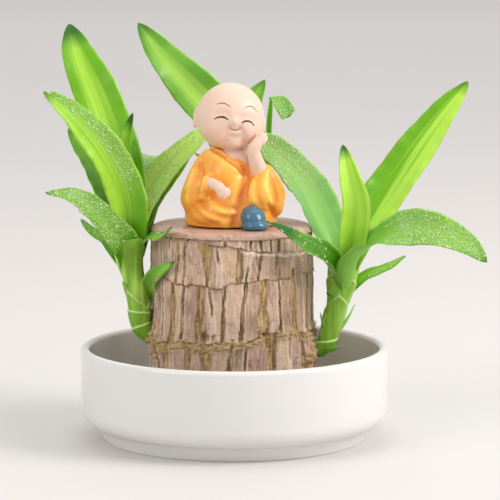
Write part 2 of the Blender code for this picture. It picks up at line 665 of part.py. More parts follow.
def build():
    """Builds every piece."""
    clear_scene()
    parts = bpy.data.collections.new("Potted Brazilian lucky wood")
    cutters = bpy.data.collections.new("Cutters")
    bpy.context.scene.collection.children.link(parts)
    bpy.context.scene.collection.children.link(cutters)

    glaze = finish_material("White glaze", (0.87, 0.87, 0.85), 0.22)
    clear = finish_material("Water", (0.85, 0.92, 0.93), 0.05, transmission=1.0)
    bark = finish_material("Bark", (0.42, 0.28, 0.18), 0.85)
    wax = finish_material("Wax", (0.55, 0.33, 0.23), 0.45)
    green = finish_material("Leaf", (0.20, 0.47, 0.05), 0.40)
    robe_orange = finish_material("Orange paint", (0.90, 0.34, 0.04), 0.30)
    skin = finish_material("Skin paint", (0.87, 0.60, 0.44), 0.32)
    shoe_blue = finish_material("Blue paint", (0.07, 0.20, 0.36), 0.25)

    make_dish(parts, glaze)
    make_water(parts, clear)
    stems = [(LEFT_STEM, LEFT_STEM_RADII), (RIGHT_STEM, RIGHT_STEM_RADII), (REAR_STEM, REAR_STEM_RADII)]
    sockets = [tube("socket", stem, radii, grow=GAP) for stem, radii in stems]
    make_log(parts, bark, cutter_group("Sockets", sockets, cutters))
    make_wax_cap(parts, wax)
    make_shoot("shoot_left", LEFT_STEM, LEFT_STEM_RADII, LEFT_LEAVES, parts, green)
    make_shoot("shoot_right", RIGHT_STEM, RIGHT_STEM_RADII, RIGHT_LEAVES, parts, green)
    make_shoot("shoot_rear", REAR_STEM, REAR_STEM_RADII, REAR_LEAVES, parts, green)
    make_figure(parts, cutters, robe_orange, skin, shoe_blue)


build()
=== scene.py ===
"""Finished look of a potted Brazilian lucky wood: a cut log with leafy shoots in a white dish.

Sizes are in millimetres and become metres in the meshes. +Z is up and -Y is the front. Angles round the
log run from its front towards its right side.
"""
import math

import bmesh
import bpy
import numpy as np
from mathutils import Matrix, Vector
from mathutils.bvhtree import BVHTree

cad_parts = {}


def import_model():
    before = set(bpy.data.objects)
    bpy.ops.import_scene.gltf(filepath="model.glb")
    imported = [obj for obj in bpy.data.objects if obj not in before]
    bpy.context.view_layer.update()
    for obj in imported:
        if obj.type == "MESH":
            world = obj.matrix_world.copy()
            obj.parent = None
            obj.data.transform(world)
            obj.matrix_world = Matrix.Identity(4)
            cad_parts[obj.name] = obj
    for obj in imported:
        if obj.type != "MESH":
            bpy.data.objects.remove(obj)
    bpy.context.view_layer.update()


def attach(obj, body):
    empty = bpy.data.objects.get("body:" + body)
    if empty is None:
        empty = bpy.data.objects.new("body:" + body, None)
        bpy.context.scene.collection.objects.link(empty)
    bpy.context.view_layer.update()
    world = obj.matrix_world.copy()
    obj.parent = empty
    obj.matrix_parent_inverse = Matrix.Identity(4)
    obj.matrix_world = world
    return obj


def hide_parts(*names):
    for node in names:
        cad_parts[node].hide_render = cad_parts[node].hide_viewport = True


MM = 0.001
MERGED = 0.01 * MM

# Camera
CAMERA_PLACE = (0.0, -1337.2, 274.4)
CAMERA_PITCH = math.radians(7.797)
CAMERA_YAW = math.radians(0.329)
CAMERA_LENS = 199.8

# Dish and water
DISH_RADIUS = 75.0
DISH_HEIGHT = 44.5
DISH_WALL = 4.6
DISH_FLOOR = 6.0
DISH_CORNER = 9.0
DISH_CORNER_TURN = 70
DISH_CREASE_HEIGHT = 6.9
DISH_FOOT_RADIUS = 64.5
DISH_INNER_CORNER = 8.0
WATER_LEVEL = 16.0
WATER_HOLE_RADIUS = 42.6
GAP = 0.3
TURNED_SIDES = 192

# Log and wax
LOG_CENTRE = (-1.2, 0.0)
LOG_BOTTOM = 6.3
BARK_TOP = 101.2
LOG_FOOT_RADIUS = 40.6
LOG_TOP_RADIUS = 38.8
LOG_COLUMNS = 400
LOG_ROWS = 215
BARK_SEED = 11
SHADE_SEED = 23
WAX_RADIUS = 39.8
WAX_TOP = 103.8
WAX_BOTTOM = 101.4
WAX_EDGE = 2.4
WAX_SEED = 5

# Leaves
RIB_STEP = 1.4
LEAF_COLUMNS = 17
LEAF_THICKNESS = 0.55
STEM_SIDES = 72
STEM_STEP = 0.4

# Drops and loose fibres: the most on a square metre, the least space between two, and their sizes
DROP_DENSITY = 900000.0
DROP_SPACING = 0.95
DROP_SMALLEST = 0.28
DROP_LARGEST = 0.8
DROP_SEED = 4
FIBRE_SPACING = 0.6
FIBRE_LENGTH = 3.6
FIBRE_THICKNESS = 0.34
FIBRE_SEED = 2
# The value that fibres lie on, the most on a square metre, and their turn and its spread in radians
FIBRES = (("ridge_fibres", "rough", 700000.0, 1.57, 0.75), ("furrow_fibres", "moss", 260000.0, 0.0, 0.25))

# Figure
FIGURE_BASE = 104.1
HEAD_CENTRE = Vector((-1.9, 2.0, 156.0))
# The head leans towards the hand at its cheek
HEAD_TURN = Matrix.Rotation(math.radians(9.0), 3, "Y")

# Studio, in metres
FLOOR_RADIUS = 12.0
SURROUND_STRENGTH = 0.77
# Each soft box's place, target, width, power in watts and colour
SOFT_BOXES = {
    "Right soft box": ((1.3, -0.35, 0.95), (0, 0, 0.08), 0.8, 19.5, "#fffcf8"),
    "Left soft box": ((-1.1, -0.8, 0.9), (0, 0, 0.1), 0.8, 7.0, "#fffdfa"),
    "Top soft box": ((0.1, 0.3, 1.5), (0, 0, 0.1), 1.0, 3.0, "#ffffff"),
    "Back soft box": ((0, 3.0, 2.2), (0, 3.0, 0), 4.0, 24.0, "#ffffff"),
}


def smooth(value):
    """Smooth step of a value from 0 to 1."""
    value = np.clip(value, 0.0, 1.0)
    return value * value * (3 - 2 * value)


def bump(distance, width):
    """A round bump: 1 at no distance, and near 0 past the width."""
    return np.exp(-(distance / width) ** 2)


def curve_at(knots, t):
    """Values of a Catmull-Rom curve through evenly spaced knots, at t from 0 to 1."""
    knots = np.asarray(knots, float)
    padded = np.concatenate([[2 * knots[0] - knots[1]], knots, [2 * knots[-1] - knots[-2]]])
    place = np.clip(t, 0, 1) * (len(knots) - 1)
    index = np.minimum(place.astype(int), len(knots) - 2)
    part = place - index
    if knots.ndim > 1:
        part = part[:, None]
    before, start, end, after = (padded[index + step] for step in range(4))
    return 0.5 * (2 * start + (end - before) * part + (2 * before - 5 * start + 4 * end - after) * part ** 2
                  + (3 * start - before - 3 * end + after) * part ** 3)


def even_route(knots, step):
    """Evenly spaced points along a smooth route, and how far along it each one is."""
    dense = curve_at(knots, np.linspace(0, 1, 400))
    reach = np.concatenate([[0.0], np.cumsum(np.linalg.norm(np.diff(dense, axis=0), axis=1))])
    travel = np.linspace(0, reach[-1], max(8, round(reach[-1] / step)) + 1)
    points = np.column_stack([np.interp(travel, reach, dense[:, axis]) for axis in range(3)])
    return points, travel


def unit(vectors):
    """Vectors of length one."""
    return vectors / np.linalg.norm(vectors, axis=1)[:, None]


def full_turn(sides):
    """Evenly spaced angles round a circle."""
    return np.linspace(0, 2 * math.pi, sides, endpoint=False)


def lattice_noise(rng, across, up, columns, rows):
    """Smooth noise from -1 to 1. across and up run from 0 to 1, and the noise closes round across."""
    grid = rng.uniform(-1, 1, (rows + 2, columns))
    x = across * columns
    y = up * rows
    left = np.floor(x).astype(int)
    low = np.clip(np.floor(y).astype(int), 0, rows)
    x = smooth(x - left)
    y = smooth(y - low)
    near = left % columns
    far = (left + 1) % columns
    lower = grid[low, near] * (1 - x) + grid[low, far] * x
    upper = grid[low + 1, near] * (1 - x) + grid[low + 1, far] * x
    return lower * (1 - y) + upper * y


# Node trees

SIGNS = {"*": "MULTIPLY", "/": "DIVIDE", "+": "ADD", "-": "SUBTRACT", "<": "LESS_THAN", ">": "GREATER_THAN",
         "max": "MAXIMUM", "min": "MINIMUM", "power": "POWER"}


def colour(code):
    """Linear colour of an sRGB hex code."""
    channels = [int(code[place:place + 2], 16) / 255 for place in (1, 3, 5)]
    return (*(c / 12.92 if c <= 0.04045 else ((c + 0.055) / 1.055) ** 2.4 for c in channels), 1.0)


def add(tree, kind, inputs=None, out=0, **settings):
    """Adds a node with its settings, and gives one of its outputs.

    Each input is a plain value, the socket that feeds it, or a list of sockets.
    """
    made = tree.nodes.new(kind)
    for name, value in settings.items():
        setattr(made, name, value)
    for key, value in (inputs or {}).items():
        if isinstance(value, (list, bpy.types.NodeSocket)):
            for source in value if isinstance(value, list) else [value]:
                tree.links.new(source, made.inputs[key])
        else:
            made.inputs[key].default_value = value
    return made.outputs[out]


def reckon(tree, fields, sums):
    """Adds Math nodes for lines of sums, worked out from left to right. fields keeps each by its name."""
    def term(word):
        return fields[word] if word in fields else float(word)

    for line in filter(str.strip, sums.splitlines()):
        name, _, first, *rest = line.split()
        total = term(first)
        while rest:
            sign = rest.pop(0)
            inputs = {0: total, 1: term(rest.pop(0))} if sign in SIGNS else {0: total}
            total = add(tree, "ShaderNodeMath", inputs, operation=SIGNS.get(sign, sign.upper()))
        fields[name] = total


def new_tree(name, **sockets):
    """A geometry tree with named inputs, its input sockets and its last node."""
    tree = bpy.data.node_groups.new(name, "GeometryNodeTree")
    tree.interface.new_socket("Geometry", in_out="INPUT", socket_type="NodeSocketGeometry")
    for label, kind in sockets.items():
        tree.interface.new_socket(label, in_out="INPUT", socket_type=f"NodeSocket{kind}")
    tree.interface.new_socket("Geometry", in_out="OUTPUT", socket_type="NodeSocketGeometry")
    return tree, tree.nodes.new("NodeGroupInput").outputs, tree.nodes.new("NodeGroupOutput")


def painted(tree, inputs, end, geometry):
    """Ends a geometry tree: its copies become real faces and take its material."""
    real = add(tree, "GeometryNodeRealizeInstances", {"Geometry": geometry})
    skin = add(tree, "GeometryNodeSetMaterial", {"Geometry": real, "Material": inputs["Material"]})
    tree.links.new(skin, end.inputs["Geometry"])
    return tree


def evaluated_mesh(item):
    """A plain mesh of an object with its modifiers applied."""
    graph = bpy.context.evaluated_depsgraph_get()
    return bpy.data.meshes.new_from_object(item.evaluated_get(graph), depsgraph=graph)


def grown(item, tree, **values):
    """The plain mesh that a geometry tree makes from an object."""
    modifier = item.modifiers.new(tree.name, "NODES")
    modifier.node_group = tree
    for socket in tree.interface.items_tree:
        if socket.in_out == "INPUT" and socket.name in values:
            modifier[socket.identifier] = values[socket.name]
    mesh = evaluated_mesh(item)
    item.modifiers.remove(modifier)
    return mesh


# Meshes

def new_object(name, mesh):
    """An object for a mesh, in the scene."""
    item = bpy.data.objects.new(name, mesh)
    bpy.context.scene.collection.objects.link(item)
    return item


def mesh_of(name, points, faces, edges=(), fields=None, material=None):
    """A smooth mesh in metres from points in millimetres, with values kept on its points."""
    mesh = bpy.data.meshes.new(name)
    mesh.from_pydata((np.asarray(points) * MM).tolist(), edges, faces)
    for label, values in (fields or {}).items():
        values = np.asarray(values, float)
        kind = "FLOAT_VECTOR" if values.ndim > 1 else "FLOAT"
        layer = mesh.attributes.new(label, kind, "POINT")
        layer.data.foreach_set("vector" if values.ndim > 1 else "value", values.ravel())
    if faces:
        mesh.shade_smooth()
    if material:
        mesh.materials.append(material)
    return mesh


def baked(name, work):
    """The mesh of a bmesh, which is freed."""
    mesh = bpy.data.meshes.new(name)
    work.to_mesh(mesh)
    work.free()
    return mesh


def outwards(mesh):
    """Turns a closed mesh's faces outwards, with its doubled points merged."""
    work = bmesh.new()
    work.from_mesh(mesh)
    bmesh.ops.remove_doubles(work, verts=work.verts, dist=MERGED)
    bmesh.ops.recalc_face_normals(work, faces=work.faces)
    work.to_mesh(mesh)
    work.free()
    mesh.shade_smooth()
    return mesh


def grid_faces(rows, columns):
    """Faces of a grid of points numbered row by row, whose last column joins its first."""
    faces = []
    for row in range(rows - 1):
        for column in range(columns):
            near = row * columns + column
            across = row * columns + (column + 1) % columns
            faces.append((near, across, across + columns, near + columns))
    return faces


def lofted(name, rings, material=None, fields=None):
    """A closed body through rings of points, capped at both ends."""
    count, sides = len(rings), len(rings[0])
    faces = grid_faces(count, sides)
    faces.append(tuple(range(sides)))
    faces.append(tuple(range((count - 1) * sides, count * sides)))
    return outwards(mesh_of(name, np.concatenate(rings), faces, fields=fields, material=material))


def tube_rings(route, radii, sides, step):
    """Rings of points along a smooth route, whose radius blends between the given ones."""
    points, travel = even_route(route, step)
    radius = curve_at(radii, travel / travel[-1])
    headings = unit(np.gradient(points, axis=0))
    side = Vector(headings[0]).orthogonal().normalized()
    turns = full_turn(sides)
    rings = []
    for point, heading, size in zip(points, headings, radius):
        heading = Vector(heading)
        side = (side - heading * side.dot(heading)).normalized()
        across = heading.cross(side)
        spokes = np.outer(np.cos(turns), side) + np.outer(np.sin(turns), across)
        rings.append(np.array(point) + spokes * size)
    return rings


def tube(name, route, radii, sides=24, step=1.0):
    """A closed round tube along a smooth route."""
    return lofted(name, tube_rings(route, radii, sides, step))


def ovals(name, sections, sides=48):
    """A closed body through level ovals: each has a height above the wax, a centre and two half widths."""
    turns = full_turn(sides)
    rows = curve_at(sections, np.linspace(0, 1, 6 * len(sections)))
    rings = [np.column_stack([x + wide * np.cos(turns), y + deep * np.sin(turns),
                              np.full(sides, FIGURE_BASE + height)]) for height, x, y, wide, deep in rows]
    return lofted(name, rings)


def ellipsoid(name, centre, radii, turn=None, segments=32, rings=20):
    """A closed ellipsoid, turned by a rotation about its own centre."""
    work = bmesh.new()
    bmesh.ops.create_uvsphere(work, u_segments=segments, v_segments=rings, radius=1.0)
    place = Matrix.Translation(Vector(centre) * MM)
    if turn:
        place = place @ turn.to_4x4()
    bmesh.ops.transform(work, matrix=place @ Matrix.Diagonal((*(Vector(radii) * MM), 1)), verts=work.verts)
    return baked(name, work)


def moulded(name, meshes, voxel, rounds, material):
    """One smooth closed mesh moulded over several: fused in small voxels, then smoothed."""
    work = bmesh.new()
    for mesh in meshes:
        work.from_mesh(mesh)
    item = new_object(name, baked(name, work))
    fuse = item.modifiers.new("Fuse", "REMESH")
    fuse.mode = "VOXEL"
    fuse.voxel_size = voxel * MM
    soften = item.modifiers.new("Soften", "SMOOTH")
    soften.factor = 0.5
    soften.iterations = rounds
    mesh = evaluated_mesh(item)
    bpy.data.objects.remove(item)
    mesh.materials.clear()
    mesh.materials.append(material)
    mesh.shade_smooth()
    mesh.name = name
    return mesh


def points_of(mesh):
    """A mesh's points in millimetres."""
    points = np.empty(len(mesh.vertices) * 3)
    mesh.vertices.foreach_get("co", points)
    return points.reshape(-1, 3) / MM


def normals_of(mesh):
    """A mesh's point normals."""
    normals = np.empty(len(mesh.vertices) * 3)
    mesh.vertex_normals.foreach_get("vector", normals)
    return normals.reshape(-1, 3)


def move_points(mesh, points):
    """Puts a mesh's points at new places in millimetres."""
    mesh.vertices.foreach_set("co", (points * MM).ravel())
    mesh.update()


def add_field(mesh, name, values):
    """Keeps a value on each of a mesh's points."""
    mesh.attributes.new(name, "FLOAT", "POINT").data.foreach_set("value", np.asarray(values, float))


def distance_to_line(points, line):
    """Distance from each point to the nearest stretch of a line of points."""
    nearest = np.full(len(points), 1e9)
    for start, end in zip(line, line[1:]):
        along = end - start
        share = np.clip((points - start) @ along / (along @ along), 0, 1)
        nearest = np.minimum(nearest, np.linalg.norm(points - start - share[:, None] * along, axis=1))
    return nearest


def on_front(mesh, places):
    """Points of a front view, x and z, laid back on the front of a mesh as a smooth line."""
    tree = BVHTree.FromPolygons([v.co for v in mesh.vertices], [p.vertices for p in mesh.polygons])
    path = curve_at(np.array(places, float), np.linspace(0, 1, 8 * len(places)))
    line = []
    for x, z in path:
        hit = tree.ray_cast(Vector((x, -80, z)) * MM, Vector((0, 1, 0)))[0]
        if hit:
            line.append(np.array(hit) / MM)
    return np.array(line)


# Dish, water and wax

def arc(x, z, radius, start, end, steps):
    """Profile points on an arc, from one angle in degrees to another."""
    turns = [math.radians(start + (end - start) * index / steps) for index in range(steps + 1)]
    return [(x + radius * math.cos(turn), z + radius * math.sin(turn)) for turn in turns]


def turned(name, profile, material, centre=(0.0, 0.0), closed=False):
    """A body turned about an upright axis, from a profile of radii and heights."""
    turns = full_turn(TURNED_SIDES)
    rings = [np.column_stack([centre[0] + radius * np.cos(turns), centre[1] + radius * np.sin(turns),
                              np.full(TURNED_SIDES, height)]) for radius, height in np.array(profile)]
    if closed:
        rings.append(rings[0])
    faces = grid_faces(len(rings), TURNED_SIDES)
    return outwards(mesh_of(name, np.concatenate(rings), faces, material=material))


def stepped(profile, step):
    """A profile with more points on its long straight runs."""
    fine = [profile[0]]
    for start, end in zip(profile, profile[1:]):
        count = max(1, math.ceil(math.dist(start, end) / step))
        for part in range(1, count + 1):
            fine.append(tuple(a + (b - a) * part / count for a, b in zip(start, end)))
    return fine


def make_dish():
    """The shallow tray, turned in one: floor, inner corner, rim, wall, creased outer corner and foot."""
    rim = DISH_WALL / 2
    inner = DISH_RADIUS - DISH_WALL
    profile = [(0.02, DISH_FLOOR)]
    profile += arc(inner - DISH_INNER_CORNER, DISH_FLOOR + DISH_INNER_CORNER, DISH_INNER_CORNER, -90, 0, 10)
    profile += arc(DISH_RADIUS - rim, DISH_HEIGHT - rim, rim, 180, 0, 14)
    corner_height = DISH_CREASE_HEIGHT + DISH_CORNER * math.sin(math.radians(DISH_CORNER_TURN))
    corner = arc(DISH_RADIUS - DISH_CORNER, corner_height, DISH_CORNER, 0, -DISH_CORNER_TURN, 12)
    profile += corner
    crease = corner[-1][0]
    profile += [(crease - 0.6, DISH_CREASE_HEIGHT - 0.5), (crease - 1.2, DISH_CREASE_HEIGHT - 1.6)]
    profile += arc(DISH_FOOT_RADIUS - 0.5, 0.8, 0.8, 10, -80, 5)
    profile += [(DISH_FOOT_RADIUS - 1.0, 0.0), (0.02, 0.0)]
    return new_object("glazed_dish", turned("glazed_dish", stepped(profile, 6.0), glaze()))


def make_water():
    """Still water between the log and the dish, with a rim that climbs a little up both walls."""
    corner = DISH_INNER_CORNER - GAP
    centre_x = DISH_RADIUS - DISH_WALL - DISH_INNER_CORNER
    centre_z = DISH_FLOOR + DISH_INNER_CORNER
    outer = centre_x + corner
    profile = [(WATER_HOLE_RADIUS, WATER_LEVEL), (WATER_HOLE_RADIUS + 0.4, WATER_LEVEL - 0.35),
               (WATER_HOLE_RADIUS + 1.2, WATER_LEVEL - 0.5), (outer - 1.2, WATER_LEVEL - 0.5),
               (outer - 0.4, WATER_LEVEL - 0.35), (outer, WATER_LEVEL)]
    profile += arc(centre_x, centre_z, corner, 0, -90, 8)
    profile += [(WATER_HOLE_RADIUS, DISH_FLOOR + GAP)]
    return new_object("dish_water", turned("dish_water", profile, clear_water(), closed=True))


def make_wax():
    """The wax on the log's upper cut: dipped, so its edge is round and its skirt a little uneven."""
    profile = [(0.02, WAX_TOP - 0.35), (8, WAX_TOP - 0.35), (16, WAX_TOP - 0.3), (24, WAX_TOP - 0.22),
               (31, WAX_TOP - 0.1), (35, WAX_TOP)]
    profile += arc(WAX_RADIUS - WAX_EDGE, WAX_TOP - WAX_EDGE, WAX_EDGE, 75, 0, 9)
    profile += [(WAX_RADIUS - 0.8, WAX_BOTTOM), (0.02, WAX_BOTTOM)]
    mesh = turned("wax_seal", stepped(profile, 1.6), sealing_wax(), centre=LOG_CENTRE)
    points = points_of(mesh)
    rng = np.random.default_rng(WAX_SEED)
    around = np.arctan2(points[:, 1], points[:, 0] - LOG_CENTRE[0])
    radius = np.hypot(points[:, 0] - LOG_CENTRE[0], points[:, 1])
    share = around / (2 * math.pi) % 1.0
    out = radius / 45
    edge = smooth((radius - 26) / 12)
    swell = 0.35 * lattice_noise(rng, share, out, 9, 3) + 0.15 * lattice_noise(rng, share, out, 31, 5)
    skirt = smooth((WAX_TOP - 1.2 - points[:, 2]) / 2.0) * edge
    points[:, 2] += skirt * 0.5 * lattice_noise(rng, share, out, 23, 1) - skirt * 0.25
    top = points[:, 2] > WAX_TOP - 1.0
    points[:, 2] += np.where(top, 0.14 * lattice_noise(rng, share, out, 17, 14), 0.0)
    scale = 1 + edge * (swell - 0.25) / np.maximum(radius, 1)
    points[:, 0] = LOG_CENTRE[0] + (points[:, 0] - LOG_CENTRE[0]) * scale
    points[:, 1] *= scale
    move_points(mesh, points)
    return new_object("wax_seal", mesh)


# Log

# Height of each ring scar, by the angle round the log in degrees
RING_SCARS = (
    [(-180, 29), (-120, 31), (-60, 30), (0, 29), (60, 31), (120, 29)],
    [(-150, 53), (-105, 51), (-69, 50.3), (-61, 49.8), (-34, 51.1), (-15, 52.0), (-1, 52.2), (13, 52.5),
     (21, 55.4), (31, 56.1), (45, 55.6), (72, 53), (110, 54), (160, 52.5)],
    [(-150, 79), (-105, 82), (-65, 81), (-50, 80.3), (-34, 79), (-16, 77.9), (-7, 77.6), (-3, 80.3),
     (9, 80.9), (29, 81.2), (47, 81.5), (55, 82.8), (72, 82.7), (110, 80), (160, 81)],
    [(-150, 94), (-105, 96), (-62, 101), (-40, 100.3), (-22, 99.2), (-11, 98.1), (2, 97.2), (9, 95.7),
     (23, 94.4), (40, 94), (62, 93.8), (110, 95), (160, 93.5)],
)

# Furrows in each band of bark across the front: angle in degrees and width in millimetres
FRONT_FURROWS = (
    [(-80, 2), (-62, 1.2), (-44, 2.4), (-30, 1), (-12, 2), (4, 1.2), (18, 3), (40, 1.4), (58, 2), (78, 1)],
    [(-78, 1.2), (-64, 1.5), (-54, 3.2), (-46, 1.0), (-33, 2.4), (-18, 3.8), (-1, 2.4), (8, 1.2), (28, 5.2),
     (45, 1.0), (60, 3.0), (75, 1.5)],
    [(-80, 1), (-67, 1.2), (-57, 1.0), (-46, 3.4), (-37, 1.4), (-22, 4.4), (-14, 0.9), (-5, 1.7), (8, 1.5),
     (22, 4.2), (35, 1.3), (48, 2.6), (60, 0.9), (68, 2.2), (80, 1)],
    [(-78, 1), (-60, 0.8), (-49, 0.9), (-41, 2.4), (-34, 2.0), (-18, 3.4), (-9, 1.0), (5, 2.8), (12, 0.8),
     (19, 2.2), (34, 2.0), (49, 1.1), (62, 1.0), (74, 1.2)],
    [(-80, 1), (-66, 1.4), (-48, 1), (-34, 1), (-24, 1), (-5, 1.2), (6, 1), (14, 1), (21, 1.4), (29, 1),
     (36, 1.6), (44, 1), (53, 1), (66, 1.2), (78, 1)],
)
FRONT_LIMIT = 84

# Hollows, painted dark inside as shade: angle in degrees, height, half width and half height
PITS = [(-19, 54.5, 2.4, 1.8), (-13, 53.8, 1.2, 1.4), (23, 55.5, 1.6, 1.2), (35, 57.8, 1.4, 1.8),
        (-66, 71, 1.6, 2.6), (140, 54, 2, 1.5), (-140, 80, 1.5, 1.2)]

# Swollen bark where a shoot comes out: angle in degrees, height, reach and how far it stands out
SHOOT_FEET = [(-78, 50, 7.0, 2.6), (-66, 46, 4.5, 1.8), (78, 43, 7.0, 2.8), (66, 40, 4.5, 2.2),
              (165, 50, 7.0, 2.4)]

# How furrows wander and ring scars run ragged: millimetres, and how many bends up or round the log
FURROW_WANDER = ((0.9, 5), (0.5, 14), (0.35, 40))
SCAR_RAGGED = ((0.9, 40), (0.6, 130))

# Furrows narrower than this run only part of the way up their band
NARROW_FURROW = 1.25

# A plate is flat as far as this from its middle
FLAT_REACH = 8

# The ring scar that is a thick worn ridge, and the one that is a thin pale one
WORN_SCAR = 1
PALE_SCAR = 3


def ring_heights(angle, keys):
    """Height of a ring scar at each angle, in degrees."""
    keys = [(key + turn, height) for turn in (-360, 0, 360) for key, height in keys]
    return np.interp(angle, *zip(*keys))


def turn_between(angle, other):
    """Signed angle in degrees from one to the other, the short way round."""
    return (angle - other + 180) % 360 - 180


def round_log(angle, other):
    """Signed distance in millimetres round the log from one angle to the other."""
    return turn_between(angle, other) * math.radians(1) * LOG_TOP_RADIUS


def band_furrows(rng, front):
    """A band's furrows all round the log: the front's own, and others spaced like them at the back."""
    furrows = list(front)
    place = FRONT_LIMIT + rng.uniform(2, 8)
    while place < 360 - FRONT_LIMIT:
        furrows.append((place, rng.choice([0.9, 1.3, 1.8, 2.6, 4.0])))
        place += rng.uniform(8, 19)
    return furrows


def carve_band(rng, shades, angle, share, up, local, furrows):
    """How far one band of bark stands out, and the hollow, lip, tint and gold of its plates and furrows.

    up runs from 0 to 1 over the log's height, and local over the band's own height.
    """
    line = share * 0
    hollow = np.zeros_like(angle)
    gold = np.zeros_like(angle)
    depth = np.zeros_like(angle)
    left = np.full_like(angle, -360.0)
    right = np.full_like(angle, 360.0)
    plate = np.zeros(angle.shape, int)
    for number, (place, width) in enumerate(furrows):
        wander = sum(size * lattice_noise(rng, line, up, 1, bends) for size, bends in FURROW_WANDER)
        lean = rng.uniform(-2.4, 2.4) * (local - 0.5)
        away = round_log(angle, place + wander + lean)
        taper = 1 + rng.uniform(-0.9, 0.9) * (local - 0.5) * 1.5
        spread = width / 2 * taper * (1 + 0.4 * lattice_noise(rng, line, up, 1, 12))
        shape = smooth((spread + 0.3 - np.abs(away)) / 0.6)
        if width < NARROW_FURROW:
            reach = rng.uniform(0.3, 1.3)
            end = local if rng.uniform() < 0.5 else 1 - local
            shape = shape * smooth((reach - end) / 0.15)
        golden = np.clip((width - 1.1) / 2.0, 0, 1) * shades.uniform(0.5, 1.1)
        gold = np.where(shape > hollow, golden, gold)
        hollow = np.maximum(hollow, shape)
        depth = np.maximum(depth, shape * (0.75 + 0.13 * width))
        is_left = (away > 0) & (away < right)
        right = np.where(is_left, away, right)
        plate = np.where(is_left, number, plate)
        is_right = (away < 0) & (away > left)
        left = np.where(is_right, away, left)
    tints = rng.uniform(-1, 1, len(furrows))
    stands = rng.uniform(-0.45, 0.5, len(furrows))
    leans = rng.uniform(-0.06, 0.06, len(furrows))
    middle = (right + left) / 2
    width = np.clip(right - left, 0, 2 * FLAT_REACH)
    flat = -(width ** 2 / 4 - np.clip(middle, -FLAT_REACH, FLAT_REACH) ** 2) / (2 * LOG_TOP_RADIUS)
    lip = np.maximum(bump(right - 0.9, 0.7), bump(-left - 0.9, 0.7)) * (1 - hollow)
    flare = 0.55 * bump(local, 0.10) - 0.3 * bump(1 - local, 0.08)
    stand = stands[plate] + leans[plate] * middle + flat * 0.8 + 0.2 * lip + flare * (1 - hollow) - depth
    return stand, {"hollow": hollow, "lip": lip, "tint": tints[plate], "gold": np.clip(gold, 0, 1)}


def bark_relief(rng, angle, height):
    """How far the bark stands in or out all over the log, and the values that colour it."""
    share = angle / 360 % 1.0
    up = (height - LOG_BOTTOM) / (BARK_TOP - LOG_BOTTOM)
    level = up * 0
    ragged = [sum(size * lattice_noise(rng, share, level, bends, 1) for size, bends in SCAR_RAGGED)
              for _ in RING_SCARS]
    rings = [ring_heights(angle, keys) + edge for keys, edge in zip(RING_SCARS, ragged)]
    limits = [np.full_like(angle, LOG_BOTTOM), *rings, np.full_like(angle, BARK_TOP + 6)]
    stand = np.zeros_like(angle)
    fields = {name: np.zeros_like(angle) for name in ("hollow", "lip", "tint", "gold")}
    shades = np.random.default_rng(SHADE_SEED)
    for number, front in enumerate(FRONT_FURROWS):
        low, high = limits[number], limits[number + 1]
        inside = (height >= low) & (height < high)
        local = (height - low) / np.maximum(high - low, 1)
        band, values = carve_band(rng, shades, angle, share, up, local, band_furrows(rng, front))
        stand = np.where(inside, band, stand)
        for name, value in values.items():
            fields[name] = np.where(inside, value, fields[name])
    hollow = fields["hollow"]
    fibre = lattice_noise(rng, share, up, 210, 14)
    grain = lattice_noise(rng, share, up, 150, 9)
    lumps = lattice_noise(rng, share, up, 90, 70)
    fine = lattice_noise(rng, share, up, 170, 110)
    stand += hollow * (0.5 * fibre + 0.3 * fine) + (1 - hollow) * (0.06 * fibre + 0.08 * grain + 0.07 * lumps)
    stand += 0.35 * lattice_noise(rng, share, up, 14, 5)
    rough = np.zeros_like(angle)
    pale = np.zeros_like(angle)
    for number, ring in enumerate(rings):
        away = height - ring
        broken = 0.3 + 0.7 * smooth(0.6 + lattice_noise(rng, share, level, 30, 1))
        crack = bump(away, 0.4) * broken
        stand -= 0.5 * crack
        hollow = np.maximum(hollow, 0.9 * crack)
        if number == WORN_SCAR:
            ridge = bump(away + 1.6 - 1.3 * lumps, 2.1)
            stand += ridge * (0.8 + 0.7 * lumps + 0.8 * fine)
            rough = np.maximum(rough, ridge)
        elif number == PALE_SCAR:
            ridge = bump(away + 1.2 + 0.6 * lumps, 0.95)
            ridge = ridge * smooth((angle - 4) / 5) * smooth((100 - angle) / 30)
            ridge *= 0.75 + 0.5 * fine
            stand += ridge * (0.9 + 0.4 * lumps)
            pale = np.maximum(pale, ridge)
        else:
            rough = np.maximum(rough, 0.5 * bump(away - 0.6, 0.7) * broken)
            stand += 0.3 * bump(away - 0.9, 0.6) * fine
    fields["hollow"] = hollow
    pit = np.zeros_like(angle)
    for place, centre, wide, tall in PITS:
        across = round_log(angle, place) / wide
        pit = np.maximum(pit, np.exp(-(across ** 2 + ((height - centre) / tall) ** 2) * (1.3 - 1.2 * fine)))
    stand -= 1.3 * pit
    callus = np.zeros_like(angle)
    for place, centre, reach, out in SHOOT_FEET:
        across = round_log(angle, place)
        swell = bump(np.hypot(across, height - centre), reach * (1 + 0.3 * lumps))
        callus = np.maximum(callus, swell)
        stand += swell * (out + 0.4 * lumps + 0.2 * fine)
    moss = smooth(0.35 + 0.9 * lattice_noise(rng, share, up, 26, 9)) * np.clip(hollow + 0.7 * rough, 0, 1)
    return stand, {**fields, "rough": rough, "pale": pale, "pit": pit, "callus": callus, "moss": moss}


